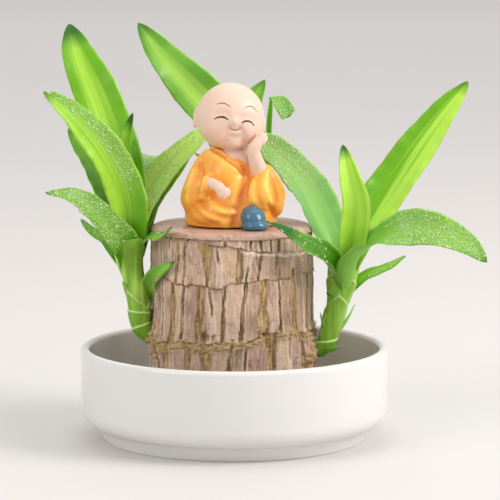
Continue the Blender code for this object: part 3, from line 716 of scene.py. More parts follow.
def make_log():
    """The log: flat bark plates with furrows between them, ring scars, pits and swollen shoot feet."""
    rng = np.random.default_rng(BARK_SEED)
    around = np.linspace(0, 360, LOG_COLUMNS, endpoint=False)
    heights = np.linspace(LOG_BOTTOM, BARK_TOP, LOG_ROWS)
    angle, height = np.meshgrid(around, heights)
    angle = (angle + 180) % 360 - 180
    stand, fields = bark_relief(rng, angle, height)
    share = (height - LOG_BOTTOM) / (BARK_TOP - LOG_BOTTOM)
    radius = LOG_FOOT_RADIUS + (LOG_TOP_RADIUS - LOG_FOOT_RADIUS) * share + stand
    radius -= 0.6 * smooth(height - BARK_TOP + 1)
    turns = np.radians(angle)
    x, y = LOG_CENTRE
    points = np.stack([x + radius * np.sin(turns), y - radius * np.cos(turns), height], axis=2).reshape(-1, 3)
    faces = grid_faces(LOG_ROWS, LOG_COLUMNS)
    last = (LOG_ROWS - 1) * LOG_COLUMNS
    for column in range(LOG_COLUMNS):
        following = (column + 1) % LOG_COLUMNS
        faces.append((column, len(points), following))
        faces.append((last + column, last + following, len(points) + 1))
    points = np.vstack([points, (x, y, LOG_BOTTOM), (x, y, BARK_TOP)])
    fields = {name: np.append(values.ravel(), [0, 0]) for name, values in fields.items()}
    mesh = mesh_of("bark_log", points, faces, fields=fields, material=bark())
    return new_object("bark_log", outwards(mesh))


def fibre_tree():
    """Loose bark fibres that lie on a log wherever one of its values is high."""
    tree, inputs, end = new_tree("Bark fibres", Field="String", Density="Float", Spacing="Float",
                                 Length="Float", Thickness="Float", Turn="Float", Spread="Float", Seed="Int",
                                 Material="Material")
    fields = {
        "turn": inputs["Turn"], "spread": inputs["Spread"], "length": inputs["Length"],
        "field": add(tree, "GeometryNodeInputNamedAttribute", {"Name": inputs["Field"]}, data_type="FLOAT"),
        "chance": add(tree, "FunctionNodeRandomValue", {"Min": 0.4, "Max": 1.1}, out=1, data_type="FLOAT"),
    }
    reckon(tree, fields, """
        where = field power 3
        low = turn - spread
        high = turn + spread
        long = chance * length
    """)
    spots = add(tree, "GeometryNodeDistributePointsOnFaces", {
        "Mesh": inputs["Geometry"], "Distance Min": inputs["Spacing"], "Density Max": inputs["Density"],
        "Density Factor": fields["where"], "Seed": inputs["Seed"]}, distribute_method="POISSON")
    strand = add(tree, "GeometryNodeCurvePrimitiveBezierSegment",
                 {"Resolution": 5, "Start": (-0.5, 0, 0), "Start Handle": (-0.2, 0.08, 0.5),
                  "End Handle": (0.2, -0.12, 0.5), "End": (0.5, 0.05, 0.1)})
    section = add(tree, "GeometryNodeCurvePrimitiveCircle", {"Resolution": 4, "Radius": 0.5})
    solid = add(tree, "GeometryNodeCurveToMesh",
                {"Curve": strand, "Profile Curve": section, "Fill Caps": True})
    upright = add(tree, "FunctionNodeAlignRotationToVector",
                  {"Rotation": spots.node.outputs["Rotation"], "Vector": (0, 0, 1)}, axis="X", pivot_axis="Z")
    spin = add(tree, "FunctionNodeRandomValue", {"Min": fields["low"], "Max": fields["high"]}, out=1,
               data_type="FLOAT")
    twist = add(tree, "ShaderNodeCombineXYZ", {"Z": spin})
    laid = add(tree, "FunctionNodeRotateRotation", {"Rotation": upright, "Rotate By": twist},
               rotation_space="LOCAL")
    size = add(tree, "ShaderNodeCombineXYZ",
               {"X": fields["long"], "Y": inputs["Thickness"], "Z": inputs["Thickness"]})
    return painted(tree, inputs, end, add(tree, "GeometryNodeInstanceOnPoints", {
        "Points": spots, "Instance": solid, "Rotation": laid, "Scale": size}))


# Leaves

# A leaf where its own values say nothing else
PLAIN_LEAF = {"fold": (12, 8, 4), "base": 0.8, "shoulder": 0.4, "tip": (3.4, 0.7),
              "curl": (95, 34, 16, 10, 8), "hug": 3.5, "wave": 0.8, "wet": 0.0, "wet_from": 0.3,
              "wet_side": 0.0, "lime": 0.5, "band": (0.0, 0.5), "deep": 0.3, "blue": 0.0, "dark_from": 0.92}

# A short sheathing leaf, widest at its foot
PLAIN_BRACT = {"fold": (18, 10), "base": 1.0, "shoulder": 0.1, "tip": (1.6, 0.9), "curl": (80, 40, 20),
               "hug": 2.0, "wave": 0.3}

# Ripples of a leaf's left and right margins: their length, their shift from leaf to leaf, and the pace and
# shift of the small ones on them
RIPPLES = ((31, 2.1, 0.71, 1), (37, 3.7, 0.63, 2))


def leaf(route, width, faces, **looks):
    """A leaf's shape and colour.

    route runs along its rib and width is its widest. faces are the ways its upper side looks, from foot
    to tip. fold raises each half like a page and curl rolls it like a gutter, in degrees. base is its
    foot's share of the width, shoulder is where it is widest, and tip gives how it narrows. hug moves
    its foot out to the stem's skin and wave is the height of its margin's ripples. wet is how many drops
    it holds past wet_from, on the half that wet_side names if it isn't 0. lime is how bright its pale
    band is, band is the band's middle and half width across the leaf, deep is how dark the rest is, blue
    is how grey-blue its bloom is, and dark_from is where painted shade starts to darken its tip.
    """
    return {**PLAIN_LEAF, "route": route, "width": width, "faces": faces, **looks}


def bract(route, width, faces, **looks):
    """A bract's shape and colour."""
    return leaf(route, width, faces, **{**PLAIN_BRACT, **looks})


# Each shoot's stem runs from inside the log to its crown
LEFT_STEM = [(-34, -7, 50), (-40, -8, 50), (-45.2, -9, 56), (-46.3, -9, 66), (-48, -8.5, 77),
             (-50.5, -7.5, 87), (-51.6, -6.5, 97.5)]
LEFT_STEM_RADII = (4.0, 4.2, 5.3, 5.5, 5.6, 7.2, 8.6)
RIGHT_STEM = [(32, -8, 43), (38, -8, 43), (44, -9, 47), (48.3, -9, 60), (50.4, -8.5, 69), (52, -7.5, 77),
              (53, -7, 84)]
RIGHT_STEM_RADII = (4.0, 4.3, 4.5, 5.1, 5.4, 7.2, 8.2)
REAR_STEM = [(8, 31, 50), (9, 38, 50), (10, 45, 55), (11, 48, 68), (11, 50, 84), (11, 51, 99)]
REAR_STEM_RADII = (4.0, 4.2, 4.6, 5.2, 5.4, 3.6)

LEFT_LEAVES = [
    leaf([(-49, -3, 92), (-53, 4, 118), (-59, 12, 142), (-67, 20, 164), (-76, 28, 183), (-82, 42, 199)],
         24, [(0.3, -1, 0.2), (0.1, -1, 0.3), (0, -0.7, 0.8)], tip=(5.5, 0.8), lime=0.9, band=(-0.1, 0.45),
         deep=0.4, dark_from=0.86),
    leaf([(-50, -6, 88), (-53, -14, 120), (-61, -24, 140), (-73, -34, 157), (-82, -40, 166), (-89, -46, 172)],
         21, [(0.3, -1, 0.2), (0.3, -0.9, 0.5)], lime=0.75, band=(-0.6, 0.85), deep=0.3, wet=1.0,
         wet_side=1.0),
    leaf([(-51, 0, 92), (-62, 10, 117), (-71, 20, 132), (-82, 30, 148)], 16, [(0.6, -0.8, 0.2)] * 2,
         lime=0.1, deep=0.7),
    leaf([(-49.5, -3, 78), (-52.5, -12, 94), (-59.5, -22, 105), (-67, -29, 114.5), (-77, -35, 121.5),
          (-89, -40, 124)],
         16, [(0.3, -1, 0.2), (0.3, -1, 0.35), (0.2, -0.8, 0.6), (0.1, -0.6, 0.8)], base=0.7,
         curl=(30, 18, 12, 10, 8), hug=0.0, wet=1.0, wet_from=0.25, lime=0.1, deep=1.4),
    leaf([(-50, -4, 77), (-56.5, -2, 87.5), (-63, 1, 96), (-69.5, 3, 100), (-75, 6, 106)], 8.5,
         [(0.5, -0.7, 0.5)] * 2, lime=0.8, blue=0.6, deep=0.5, wet=0.8),
    leaf([(-48, -4, 88), (-46, 2, 111), (-37, 12, 125), (-28, 22, 135), (-17, 30, 144), (-7, 36, 150)],
         15, [(-0.2, -1, 0.3), (0, -0.9, 0.6), (0.1, -0.8, 0.7)], wet=1.2, wet_from=0.2, lime=1.4,
         band=(0.2, 3.0)),
    leaf([(-48, 0, 90), (-43, 8, 108), (-34, 18, 122), (-22, 28, 134)], 11, [(-0.1, -0.8, 0.6)] * 2,
         lime=1.3, deep=0.1),
    leaf([(-48, 2, 88), (-44, 14, 114), (-41, 30, 130), (-40, 46, 132), (-43, 62, 124)],
         17, [(0, -0.9, 0.45), (0, -0.3, 1), (0, 0.4, 0.9)], wet=1.0, wet_from=0.2, lime=0.1, blue=0.7,
         deep=0.7),
    leaf([(-50, -2, 95), (-51, 1, 121), (-52, 3, 140), (-49, 5, 158)], 11, [(-0.5, -0.85, 0)] * 2,
         fold=(45, 32), lime=0.9, band=(-0.5, 0.5), deep=0.4, curl=(60, 20, 8), dark_from=0.84),
    leaf([(-49, 0, 94), (-47, 6, 120), (-49, 10, 137), (-50, 13, 148)], 10, [(-0.8, -0.6, 0.1)] * 2,
         lime=1.0, band=(0.2, 0.8)),
    leaf([(-47, -6, 92), (-41, -16, 99), (-35, -26, 101), (-29, -36, 107.5)], 8, [(-0.2, -0.5, 0.8)] * 2,
         lime=0.4, deep=1.0, wet=0.6, dark_from=0.8),
    bract([(-43, -5, 65.5), (-38.5, -11, 77), (-34.5, -23, 84), (-28, -36, 91)], 13, [(0, -0.9, 0.4)] * 2,
          lime=0.7, blue=0.4, dark_from=0.85),
    bract([(-48, -9, 62), (-50.2, -11, 70), (-54, -13, 78)], 9, [(0.3, 1, 0.1)] * 2, lime=0.5),
]

RIGHT_LEAVES = [
    leaf([(53, -6, 77), (48, -5, 91), (42, 2, 106), (34, 16, 122), (23, 27, 134), (12, 32, 142),
          (4, 36, 149)],
         24, [(0.7, -0.75, 0.2), (0.45, -0.9, 0.3), (0.3, -0.8, 0.5)], wet=1.0, wet_from=0.45, lime=0.7,
         band=(0.1, 0.4), blue=1.0, deep=0.9),
    leaf([(51, -8, 73), (44, -22, 88), (34, -32, 97), (24, -38, 105), (15, -42, 111)],
         18, [(0.2, -0.7, 0.7)] * 2, fold=(26, 24), shoulder=0.5, base=0.65, tip=(2.0, 1.0), wet=0.35,
         wet_from=0.3, lime=0.0, deep=2.0, dark_from=0.7),
    leaf([(54, -7, 80), (57, -12, 100), (58, -14, 115), (55, -14, 129), (52, -12, 144)],
         15, [(0.1, -1, 0.2)] * 2, fold=(30, 20), lime=1.8, band=(-0.1, 1.7), deep=0.2, dark_from=0.88),
    leaf([(55, -4, 82), (64, 3, 101), (74, 11, 117), (85, 18, 132), (100, 26, 152), (116, 34, 171)],
         22, [(-0.3, -0.95, 0.2)] * 2, lime=1.9, band=(0.5, 0.6), deep=0.5),
    leaf([(52, -9, 70), (60, -18, 90), (71, -24, 100), (83, -28, 105), (96, -31, 105), (110, -33, 99),
          (120, -35, 90)],
         21, [(-0.5, 0.6, 0.6), (-0.15, -0.2, 0.9), (0.2, -0.95, 0.3), (0.2, -0.95, 0.3)], base=0.9,
         shoulder=0.6, curl=(60, 40, 20, 10, 8), wet=1.2, wet_from=0.42, lime=0.3, blue=0.3, deep=0.4),
    leaf([(52, -7, 66), (63, -3, 77), (75, 0, 83), (84, 4, 88)], 9, [(-0.3, -0.4, 0.85)] * 2,
         lime=0.9, deep=0.3, wet=0.2),
    bract([(46, -9, 46), (43, -12, 55), (41.5, -14, 63)], 6, [(0.8, 0.5, 0)] * 2, blue=0.4),
    bract([(48, -8, 48), (55, -4, 57), (59, 0, 65)], 6, [(-0.8, 0.2, 0.3)] * 2, blue=0.4),
    bract([(43, -9, 42), (48, -14, 44), (53, -15, 47)], 7, [(0, 0.3, 1)] * 2, deep=0.6),
]

REAR_LEAVES = [
    leaf([(11, 50, 92), (8, 47, 118), (1.5, 48, 137), (-9, 50, 153.5), (-22, 50, 167.5), (-35, 49, 182),
          (-48, 47, 199)],
         27, [(0.2, -1, 0.15)] * 2, lime=1.0, band=(-0.1, 0.5), deep=0.5, blue=0.4, wave=1.3),
    leaf([(11, 51, 92), (8, 53, 118), (6, 56, 140), (8.5, 60, 157), (15.8, 62, 169.8)], 16,
         [(-0.2, -1, 0.1)] * 2, tip=(6, 0.9), lime=0.4, blue=0.3, deep=0.7),
    leaf([(12, 51, 92), (13.5, 50, 115), (16.2, 52, 138), (17.2, 55, 151), (18.4, 58, 161)],
         3.4, [(0.5, -1, 0)] * 2, fold=(40, 40), tip=(14, 0.6), lime=0.0, deep=1.2, wave=0.1, dark_from=0.97),
    leaf([(17.6, 58, 160.2), (20, 59.5, 159.6), (24.4, 61, 156.6), (28, 63, 150.6)],
         9, [(0.2, -1, 0.3)] * 2, fold=(4, 4), base=0.2, shoulder=0.5, tip=(30, 0.5), curl=(12, 12, 10),
         hug=0.0, lime=0.2, blue=0.8, deep=0.5, wet=0.8, wet_from=0.1, wave=0.3, dark_from=0.9),
    leaf([(11, 49, 90), (6, 42, 111), (-6, 40, 125), (-20, 38, 135)], 9, [(0.3, -0.6, 0.7)] * 2, deep=0.8),
    leaf([(10, 52, 92), (3, 66, 112), (-8, 84, 118), (-20, 100, 106)], 17, [(0.3, -0.4, 0.9)] * 2, wet=0.5,
         blue=0.4),
    leaf([(12, 52, 90), (14, 64, 106), (15, 80, 112), (16, 97, 106)], 15, [(-0.3, -0.3, 0.9)] * 2, lime=0.8),
    leaf([(11, 52, 94), (9, 62, 116), (6, 74, 130), (2, 92, 136)], 16, [(0.1, -0.9, 0.45), (0.1, -0.3, 1)],
         lime=0.7, deep=0.5),
    bract([(10, 47, 58), (8, 53, 68), (5, 57, 78)], 9, [(0.3, -1, 0.2)] * 2),
    bract([(11, 49, 70), (17, 50, 82), (22, 54, 88)], 8, [(-0.6, -0.3, 0.7)] * 2),
]

LOOKS = ("wet", "wet_from", "wet_side", "lime", "deep", "blue", "dark_from")


def leaf_width(shape, t):
    """Width of a leaf at t along it."""
    rise = smooth(t / shape["shoulder"])
    power, root = shape["tip"]
    return shape["width"] * (shape["base"] + (1 - shape["base"]) * rise) * (1 - t ** power) ** root


def rib_fields(shape, number):
    """A leaf's rib: its points, and the values kept on each of them."""
    points, travel = even_route(shape["route"], RIB_STEP)
    t = travel / travel[-1]
    heading = unit(np.gradient(points, axis=0))
    side = unit(np.cross(heading, curve_at(shape["faces"], t)))
    lift = np.cross(side, heading)
    points = points - lift * (shape["hug"] * (1 - smooth(t / 0.22)))[:, None]
    half = leaf_width(shape, t) / 2
    ripple = shape["wave"] * np.minimum(half / 6.5, 1.2) * smooth(t / 0.25)
    left, right = (ripple * (np.sin(2 * math.pi * travel / length + shift * number)
                             + 0.35 * np.sin(travel * pace + small_shift * number))
                   for length, shift, pace, small_shift in RIPPLES)
    body = np.ones(len(t))
    body[0] = body[-1] = 0.0
    fold = np.radians(curve_at(shape["fold"], t))
    fields = {
        "side": side, "lift": lift, "heading": heading, "half": half * MM, "crease": half * np.tan(fold) * MM,
        "curl": np.maximum(np.radians(curve_at(shape["curl"], t)), 0.02), "wave_left": left * MM,
        "wave_step": (right - left) * MM, "body": body, "along": t, "travel": travel / 10,
    }
    looks = {"seed": 3.1 * number, "band_place": shape["band"][0], "band_width": shape["band"][1],
             **{look: shape[look] for look in LOOKS}}
    fields.update({look: np.full(len(t), float(value)) for look, value in looks.items()})
    return points, fields


def blade_tree():
    """Turns ribs into leaves: a curled, folded and rippled sheet that is thickest at its middle."""
    tree, inputs, end = new_tree("Leaves along ribs", Columns="Int", Thickness="Float", Material="Material")
    kinds = {"FLOAT_VECTOR": "rib side lift heading",
             "FLOAT": "across half crease curl wave_left wave_step body"}
    fields = {name: add(tree, "GeometryNodeInputNamedAttribute", {"Name": name}, data_type=kind)
              for kind, names in kinds.items() for name in names.split()}
    fields["thickness"] = inputs["Thickness"]
    reckon(tree, fields, """
        turn = curl * across
        sine = turn sine
        cosine = turn cosine
        bend = half / curl
        out = bend * sine
        drop = 1 - cosine
        reach = across absolute
        square = reach * reach
        page = crease * reach
        wave = across > 0 * wave_step + wave_left
        ripple = wave * square
        up = bend * drop + page + ripple
        skin = 1 - square sqrt * body * thickness * 0.5
    """)
    place = add(tree, "GeometryNodeInputPosition")
    ribs = add(tree, "GeometryNodeMeshToCurve", {"Mesh": inputs["Geometry"]})
    tangent = add(tree, "GeometryNodeInputTangent")
    agree = add(tree, "ShaderNodeVectorMath", {0: tangent, 1: fields["heading"]}, out="Value",
                operation="DOT_PRODUCT")
    backward = add(tree, "ShaderNodeMath", {0: agree, 1: 0.0}, operation="LESS_THAN")
    forward = add(tree, "GeometryNodeReverseCurve", {"Curve": ribs, "Selection": backward})
    marked = add(tree, "GeometryNodeStoreNamedAttribute",
                 {"Geometry": forward, "Name": "rib", "Value": place},
                 data_type="FLOAT_VECTOR", domain="POINT")
    line = add(tree, "GeometryNodeCurvePrimitiveLine", {"Start": (-1, 0, 0), "End": (1, 0, 0)})
    columns = add(tree, "GeometryNodeResampleCurve", {"Curve": line, "Count": inputs["Columns"]})
    x = add(tree, "ShaderNodeSeparateXYZ", {0: place})
    profile = add(tree, "GeometryNodeStoreNamedAttribute",
                  {"Geometry": columns, "Name": "across", "Value": x}, data_type="FLOAT", domain="POINT")
    sheet = add(tree, "GeometryNodeCurveToMesh", {"Curve": marked, "Profile Curve": profile})
    moves = [add(tree, "ShaderNodeVectorMath", {0: fields[way], "Scale": fields[reach]}, operation="SCALE")
             for way, reach in (("side", "out"), ("lift", "up"))]
    offset = add(tree, "ShaderNodeVectorMath", dict(enumerate(moves)), operation="ADD")
    goal = add(tree, "ShaderNodeVectorMath", {0: fields["rib"], 1: offset}, operation="ADD")
    top = add(tree, "GeometryNodeSetPosition", {"Geometry": sheet, "Position": goal})
    turned_over = add(tree, "GeometryNodeFlipFaces", {"Mesh": top})
    under = add(tree, "GeometryNodeStoreNamedAttribute",
                {"Geometry": turned_over, "Name": "under", "Value": 1.0}, data_type="FLOAT", domain="POINT")
    both = add(tree, "GeometryNodeJoinGeometry", {"Geometry": [under, top]})
    normal = add(tree, "GeometryNodeInputNormal")
    outward = add(tree, "ShaderNodeVectorMath", {0: normal, "Scale": fields["skin"]}, operation="SCALE")
    thick = add(tree, "GeometryNodeSetPosition", {"Geometry": both, "Offset": outward})
    closed = add(tree, "GeometryNodeMergeByDistance", {"Geometry": thick, "Distance": MERGED})
    return painted(tree, inputs, end, add(tree, "GeometryNodeSetShadeSmooth", {"Geometry": closed}))


def make_leaves(name, leaves, tree, material):
    """Every leaf of a shoot."""
    points, fields, edges = [], [], []
    for number, shape in enumerate(leaves):
        rib, values = rib_fields(shape, number)
        first = sum(len(part) for part in points)
        edges += [(first + index, first + index + 1) for index in range(len(rib) - 1)]
        points.append(rib)
        fields.append(values)
    together = {label: np.concatenate([values[label] for values in fields]) for label in fields[0]}
    item = new_object(name, mesh_of(name, np.concatenate(points), [], edges=edges, fields=together))
    item.data = grown(item, tree, Columns=LEAF_COLUMNS, Thickness=LEAF_THICKNESS * MM, Material=material)
    return item


# Sheath edges on each stem: mean height, rise and fall, and the direction in degrees of the tip
LEFT_SHEATHS = [(55.4, 2.6, -40), (63.4, 0.7, 170), (72.4, 7.4, 140)]
RIGHT_SHEATHS = [(48.8, 0.8, 20), (63.5, 7.8, -90), (76.5, 6.5, -110)]
REAR_SHEATHS = [(54, 2, 100), (62, 3, 250), (71, 5, 90), (83, 4, 270)]

# Free margins that run up a sheath: lower and upper height, and the direction at each
LEFT_MARGINS = [(65.0, 96.0, -66, -16)]
RIGHT_MARGINS = [(49.0, 84.0, -38, -20), (49.0, 62.0, -150, -140)]
REAR_MARGINS = [(60.0, 90.0, 60, 80)]

SHOOTS = {
    "left": ((LEFT_STEM, LEFT_STEM_RADII, LEFT_SHEATHS, LEFT_MARGINS), LEFT_LEAVES),
    "right": ((RIGHT_STEM, RIGHT_STEM_RADII, RIGHT_SHEATHS, RIGHT_MARGINS), RIGHT_LEAVES),
    "rear": ((REAR_STEM, REAR_STEM_RADII, REAR_SHEATHS, REAR_MARGINS), REAR_LEAVES),
}


def make_stem(name, route, radii, sheaths, margins, material):
    """A shoot's stem, wrapped in the sheaths of its lower leaves."""
    rings = tube_rings(route, radii, STEM_SIDES, STEM_STEP)
    shaped, edges, wraps = [], [], []
    for ring in rings:
        centre = ring.mean(axis=0)
        spokes = ring - centre
        radius = np.linalg.norm(spokes, axis=1)
        direction = np.degrees(np.arctan2(spokes[:, 1], spokes[:, 0]))
        grow = np.zeros(len(ring))
        edge = np.zeros(len(ring))
        wrap = np.zeros(len(ring))
        for height, rise, high in sheaths:
            below = height + rise * (1 - np.abs(turn_between(direction, high)) / 90) - ring[:, 2]
            grow += 0.6 * smooth(below / 0.3) * np.exp(-np.maximum(below, 0) / 10)
            edge = np.maximum(edge, bump(below - 0.35, 0.32))
            wrap += smooth(below / 0.5)
        for low, high, start, end in margins:
            line = start + (end - start) * (ring[:, 2] - low) / (high - low)
            inside = smooth((ring[:, 2] - low) / 4) * smooth((high - ring[:, 2]) / 2)
            past = turn_between(direction, line) * math.radians(1) * radius
            grow += 0.45 * inside * smooth(-past / 0.3) * np.exp(np.minimum(past, 0) / 4)
            edge = np.maximum(edge, 0.8 * inside * bump(past + 0.25, 0.35))
        shaped.append(centre + spokes * (1 + (grow - 0.4) / radius)[:, None])
        edges.append(edge)
        wraps.append(wrap)
    fields = {"edge": np.concatenate(edges), "wrap": np.concatenate(wraps)}
    return new_object(name, lofted(name, shaped, material=material, fields=fields))


# How wet a leaf is at a place: more past its wet_from, and only on its wet_side
WET_SUMS = """
    past = along - wet_from * 7 max 0 min 1
    either_side = wet_side absolute * -1 + 1
    sided = across * wet_side * 4 + either_side max 0 min 1
    soaked = past * sided
"""


def drop_tree():
    """Drops of water that stand on the upper side of wet leaves."""
    tree, inputs, end = new_tree("Drops on leaves", Density="Float", Spacing="Float", Smallest="Float",
                                 Largest="Float", Seed="Int", Material="Material")
    fields = {name: add(tree, "GeometryNodeInputNamedAttribute", {"Name": name}, data_type="FLOAT")
              for name in ("wet", "wet_from", "wet_side", "under", "along", "across")}
    fields.update(smallest=inputs["Smallest"], largest=inputs["Largest"], chance=add(
        tree, "FunctionNodeRandomValue", {"Min": 0.0, "Max": 1.0, "Seed": 5}, out=1, data_type="FLOAT"))
    reckon(tree, fields, WET_SUMS + """
        where = under < 0.5 * soaked * wet
        range = largest - smallest
        wide = chance power 3 * range + smallest
        tall = wide * 0.5
    """)
    spots = add(tree, "GeometryNodeDistributePointsOnFaces", {
        "Mesh": inputs["Geometry"], "Distance Min": inputs["Spacing"], "Density Max": inputs["Density"],
        "Density Factor": fields["where"], "Seed": inputs["Seed"]}, distribute_method="POISSON")
    ball = add(tree, "GeometryNodeMeshUVSphere", {"Segments": 8, "Rings": 5, "Radius": 1.0})
    bead = add(tree, "GeometryNodeSetShadeSmooth", {"Geometry": ball})
    size = add(tree, "ShaderNodeCombineXYZ", {"X": fields["wide"], "Y": fields["wide"], "Z": fields["tall"]})
    return painted(tree, inputs, end, add(tree, "GeometryNodeInstanceOnPoints", {
        "Points": spots, "Instance": bead, "Rotation": spots.node.outputs["Rotation"], "Scale": size}))


# Figure

ROBE = [(0, -1.5, 0.5, 22.4, 17.8), (4, -1.5, 0.5, 22.6, 18.4), (11, -1.5, 1.0, 21.0, 17.4),
        (19, -2.0, 1.5, 18.2, 15.6), (27, -2.5, 1.8, 16.2, 13.8), (33, -2.0, 2.0, 13.0, 11.8),
        (38, -1.5, 1.8, 9.2, 9.4)]
LEFT_SLEEVE = [(-10.5, 2, 138), (-15.5, 0, 131), (-20.0, -4, 116.5), (-16.5, -11, 121), (-11.5, -14.5, 126)]
LEFT_SLEEVE_RADII = (4.2, 5.2, 6.2, 5.6, 4.6)
RIGHT_SLEEVE = [(8, 0, 133), (13.0, -5, 128), (16.5, -3, 122), (18.6, -2, 116), (19.5, -1, 110)]
RIGHT_SLEEVE_RADII = (4.6, 6.4, 7.0, 6.8, 3.2)

# Round forms under the robe: centre, and half widths
ROBE_LUMPS = {"left knee": ((-10, -10, 110.5), (11, 9, 6.4)), "right knee": ((11, -8, 119), (8.5, 8.5, 10)),
              "belly": ((-4, -6, 128), (9, 8.5, 10)), "left cuff": ((-20.4, -3, 113.5), (4.2, 6.5, 6.0)),
              "right cuff": ((20.0, -3, 115), (4.4, 6.5, 7.0))}

# The collar's top edge falls from the left shoulder to the right arm: places across, and heights
COLLAR = ((-13, -6.3, -2, 3.8, 5.2, 9), (142.8, 140.6, 137.6, 136.4, 134.6, 133.5))

# Folds of the robe: points of the front view, width, and height above or below the cloth
ROBE_FOLDS = [
    ([(-13, 142), (-8, 139.5), (-4, 136.8), (0.3, 133.6), (4.9, 129.5)], 0.75, -1.2),
    ([(-12, 139.5), (-7, 137), (-3, 134.5), (1, 131.5)], 1.6, 0.6),
    ([(5.4, 132), (6.6, 128), (4.6, 122.2), (2.6, 118), (1.8, 113.4), (0.3, 107)], 2.4, -1.5),
    ([(1.5, 127), (0.5, 121), (-0.5, 116)], 2.2, 0.6),
    ([(-13, 121), (-8.9, 117), (-3.8, 114.4), (0.3, 113.4)], 1.5, -0.8),
    ([(-14, 119.2), (-9.5, 114.8), (-4.5, 112.2), (0, 111.3)], 2.0, 0.5),
    ([(-15.6, 116.6), (-11.5, 112.4), (-6.4, 109.8), (-0.8, 109)], 1.5, -0.8),
    ([(-13.5, 110.4), (-7.9, 107.9), (-2.8, 106)], 2.0, 0.4),
    ([(-19.5, 113), (-14, 108.5), (-8, 105.5)], 1.5, -0.6),
    ([(-16.4, 134), (-15.4, 129.5), (-16.6, 125), (-17.5, 120.5)], 1.2, -0.8),
    ([(-16.1, 122.6), (-15.4, 127.3), (-11.5, 129.4)], 0.9, 0.5),
    ([(-20, 130), (-22, 124), (-23, 117)], 1.3, 0.5),
    ([(19.3, 130), (21.8, 124.8), (23.6, 119.6)], 1.1, -0.7),
    ([(17.7, 129.5), (19.3, 122.7), (20.3, 116.5)], 1.1, -0.6),
    ([(15.2, 127.9), (15.2, 122.7), (17.7, 115.5)], 1.4, 0.7),
    ([(11, 127), (11, 120), (13, 115)], 1.4, -0.5),
    ([(8, 127), (8, 121), (9, 117)], 1.6, 0.6),
    ([(16.5, 114.5), (18.5, 111), (19.5, 107.5)], 1.2, -0.7),
]

# Soft forms of the face: points of the front view, width, and height
FACE_FORMS = [
    ([(-9.0, 149.8), (-7.0, 147.6)], 5.0, 2.1),
    ([(7.4, 148.4), (9.0, 146.0)], 4.8, 2.2),
    ([(0.4, 144.6), (1.0, 144.2)], 2.6, 1.8),
    ([(0.2, 155.4), (0.3, 154.9)], 1.6, 1.0),
    ([(-2.2, 152.2), (-3.6, 149.6), (-4.2, 146.6)], 1.3, -0.75),
    ([(3.0, 151.8), (4.2, 149.2), (4.4, 145.8)], 1.3, -0.75),
    ([(-1.4, 148.4), (0.5, 147.6), (2.4, 148.2)], 1.1, -0.5),
    ([(-2.1, 152.0), (0.3, 151.0), (3.0, 151.6)], 0.55, -0.6),
    ([(-8.5, 158.8), (-5.8, 159.6), (-3.2, 158.6)], 1.6, -0.35),
    ([(3.8, 157.2), (6.6, 157.6), (9.0, 155.6)], 1.6, -0.35),
]

# Lines painted on the face: points of the front view, and how wide each is at its middle
BROW_LINES = [
    ([(-8.6, 163.2), (-6.3, 163.9), (-4.0, 163.6), (-1.6, 162.1)], 0.48),
    ([(4.9, 161.3), (7.2, 162.3), (9.2, 161.5), (11.0, 159.4)], 0.48),
]
EYE_LINES = [
    ([(-9.7, 156.2), (-7.9, 157.1), (-5.8, 157.4), (-4.0, 156.9), (-2.8, 156.0)], 1.05),
    ([(3.6, 154.3), (5.1, 155.2), (6.9, 155.2), (8.5, 154.2), (9.7, 152.6)], 1.05),
    ([(-2.0, 151.9), (-1.2, 151.3), (0.3, 151.0), (1.8, 151.0), (2.9, 151.6)], 0.5),
]
LINE_HEIGHT = 0.12

# Blushed cheeks: places of the front view. Ears: directions from the head's centre, and how far out
CHEEKS = ((-7.6, 149.2), (8.2, 147.4))
CHEEK_SIZE = 4.6
EARS = ((-0.97, 0.05, -0.12), (0.97, 0.05, -0.12))
EAR_REACH = 16.7


def pressed(mesh, folds):
    """Presses creases and raises ridges on a mesh, and keeps how much of each for painted shade and
    highlights.
    """
    points = points_of(mesh)
    normals = normals_of(mesh)
    lines = [on_front(mesh, places) for places, _, _ in folds]
    crease = np.zeros(len(points))
    crest = np.zeros(len(points))
    shift = np.zeros(len(points))
    for line, (_, width, height) in zip(lines, folds):
        away = distance_to_line(points, line)
        shift += bump(away, width) * height
        # The creases get painted shade and the ridges painted highlights, led by these two values
        crease = np.maximum(crease, bump(away, width * 1.3) * max(-height, 0.0) / 2.2)
        crest = np.maximum(crest, bump(away, width * 1.4) * max(height, 0.0) * 1.1)
    move_points(mesh, points + normals * shift[:, None])
    add_field(mesh, "crease", np.clip(crease, 0, 1))
    add_field(mesh, "crest", np.clip(crest, 0, 1))


def make_robe():
    """The robe: a bell over the crossed legs, two wide sleeves, knees, a crossed collar and folds."""
    meshes = [ovals("skirt", ROBE), tube("left sleeve", LEFT_SLEEVE, LEFT_SLEEVE_RADII),
              tube("right sleeve", RIGHT_SLEEVE, RIGHT_SLEEVE_RADII)]
    meshes += [ellipsoid(name, *lump) for name, lump in ROBE_LUMPS.items()]
    mesh = moulded("painted_robe", meshes, 0.45, 14, orange_paint())
    points = points_of(mesh)
    # Cloth above the collar is cut away
    above = np.maximum(points[:, 2] - np.interp(points[:, 0], *COLLAR), 0)
    points[:, 2] -= above * (1 - 0.12 * np.exp(-above / 4))
    points[:, 1] += 0.5 * above * (points[:, 1] < 2)
    move_points(mesh, points)
    pressed(mesh, ROBE_FOLDS)
    points = points_of(mesh)
    points[:, 2] = np.maximum(points[:, 2], FIGURE_BASE)
    move_points(mesh, points)
    return new_object("painted_robe", mesh)


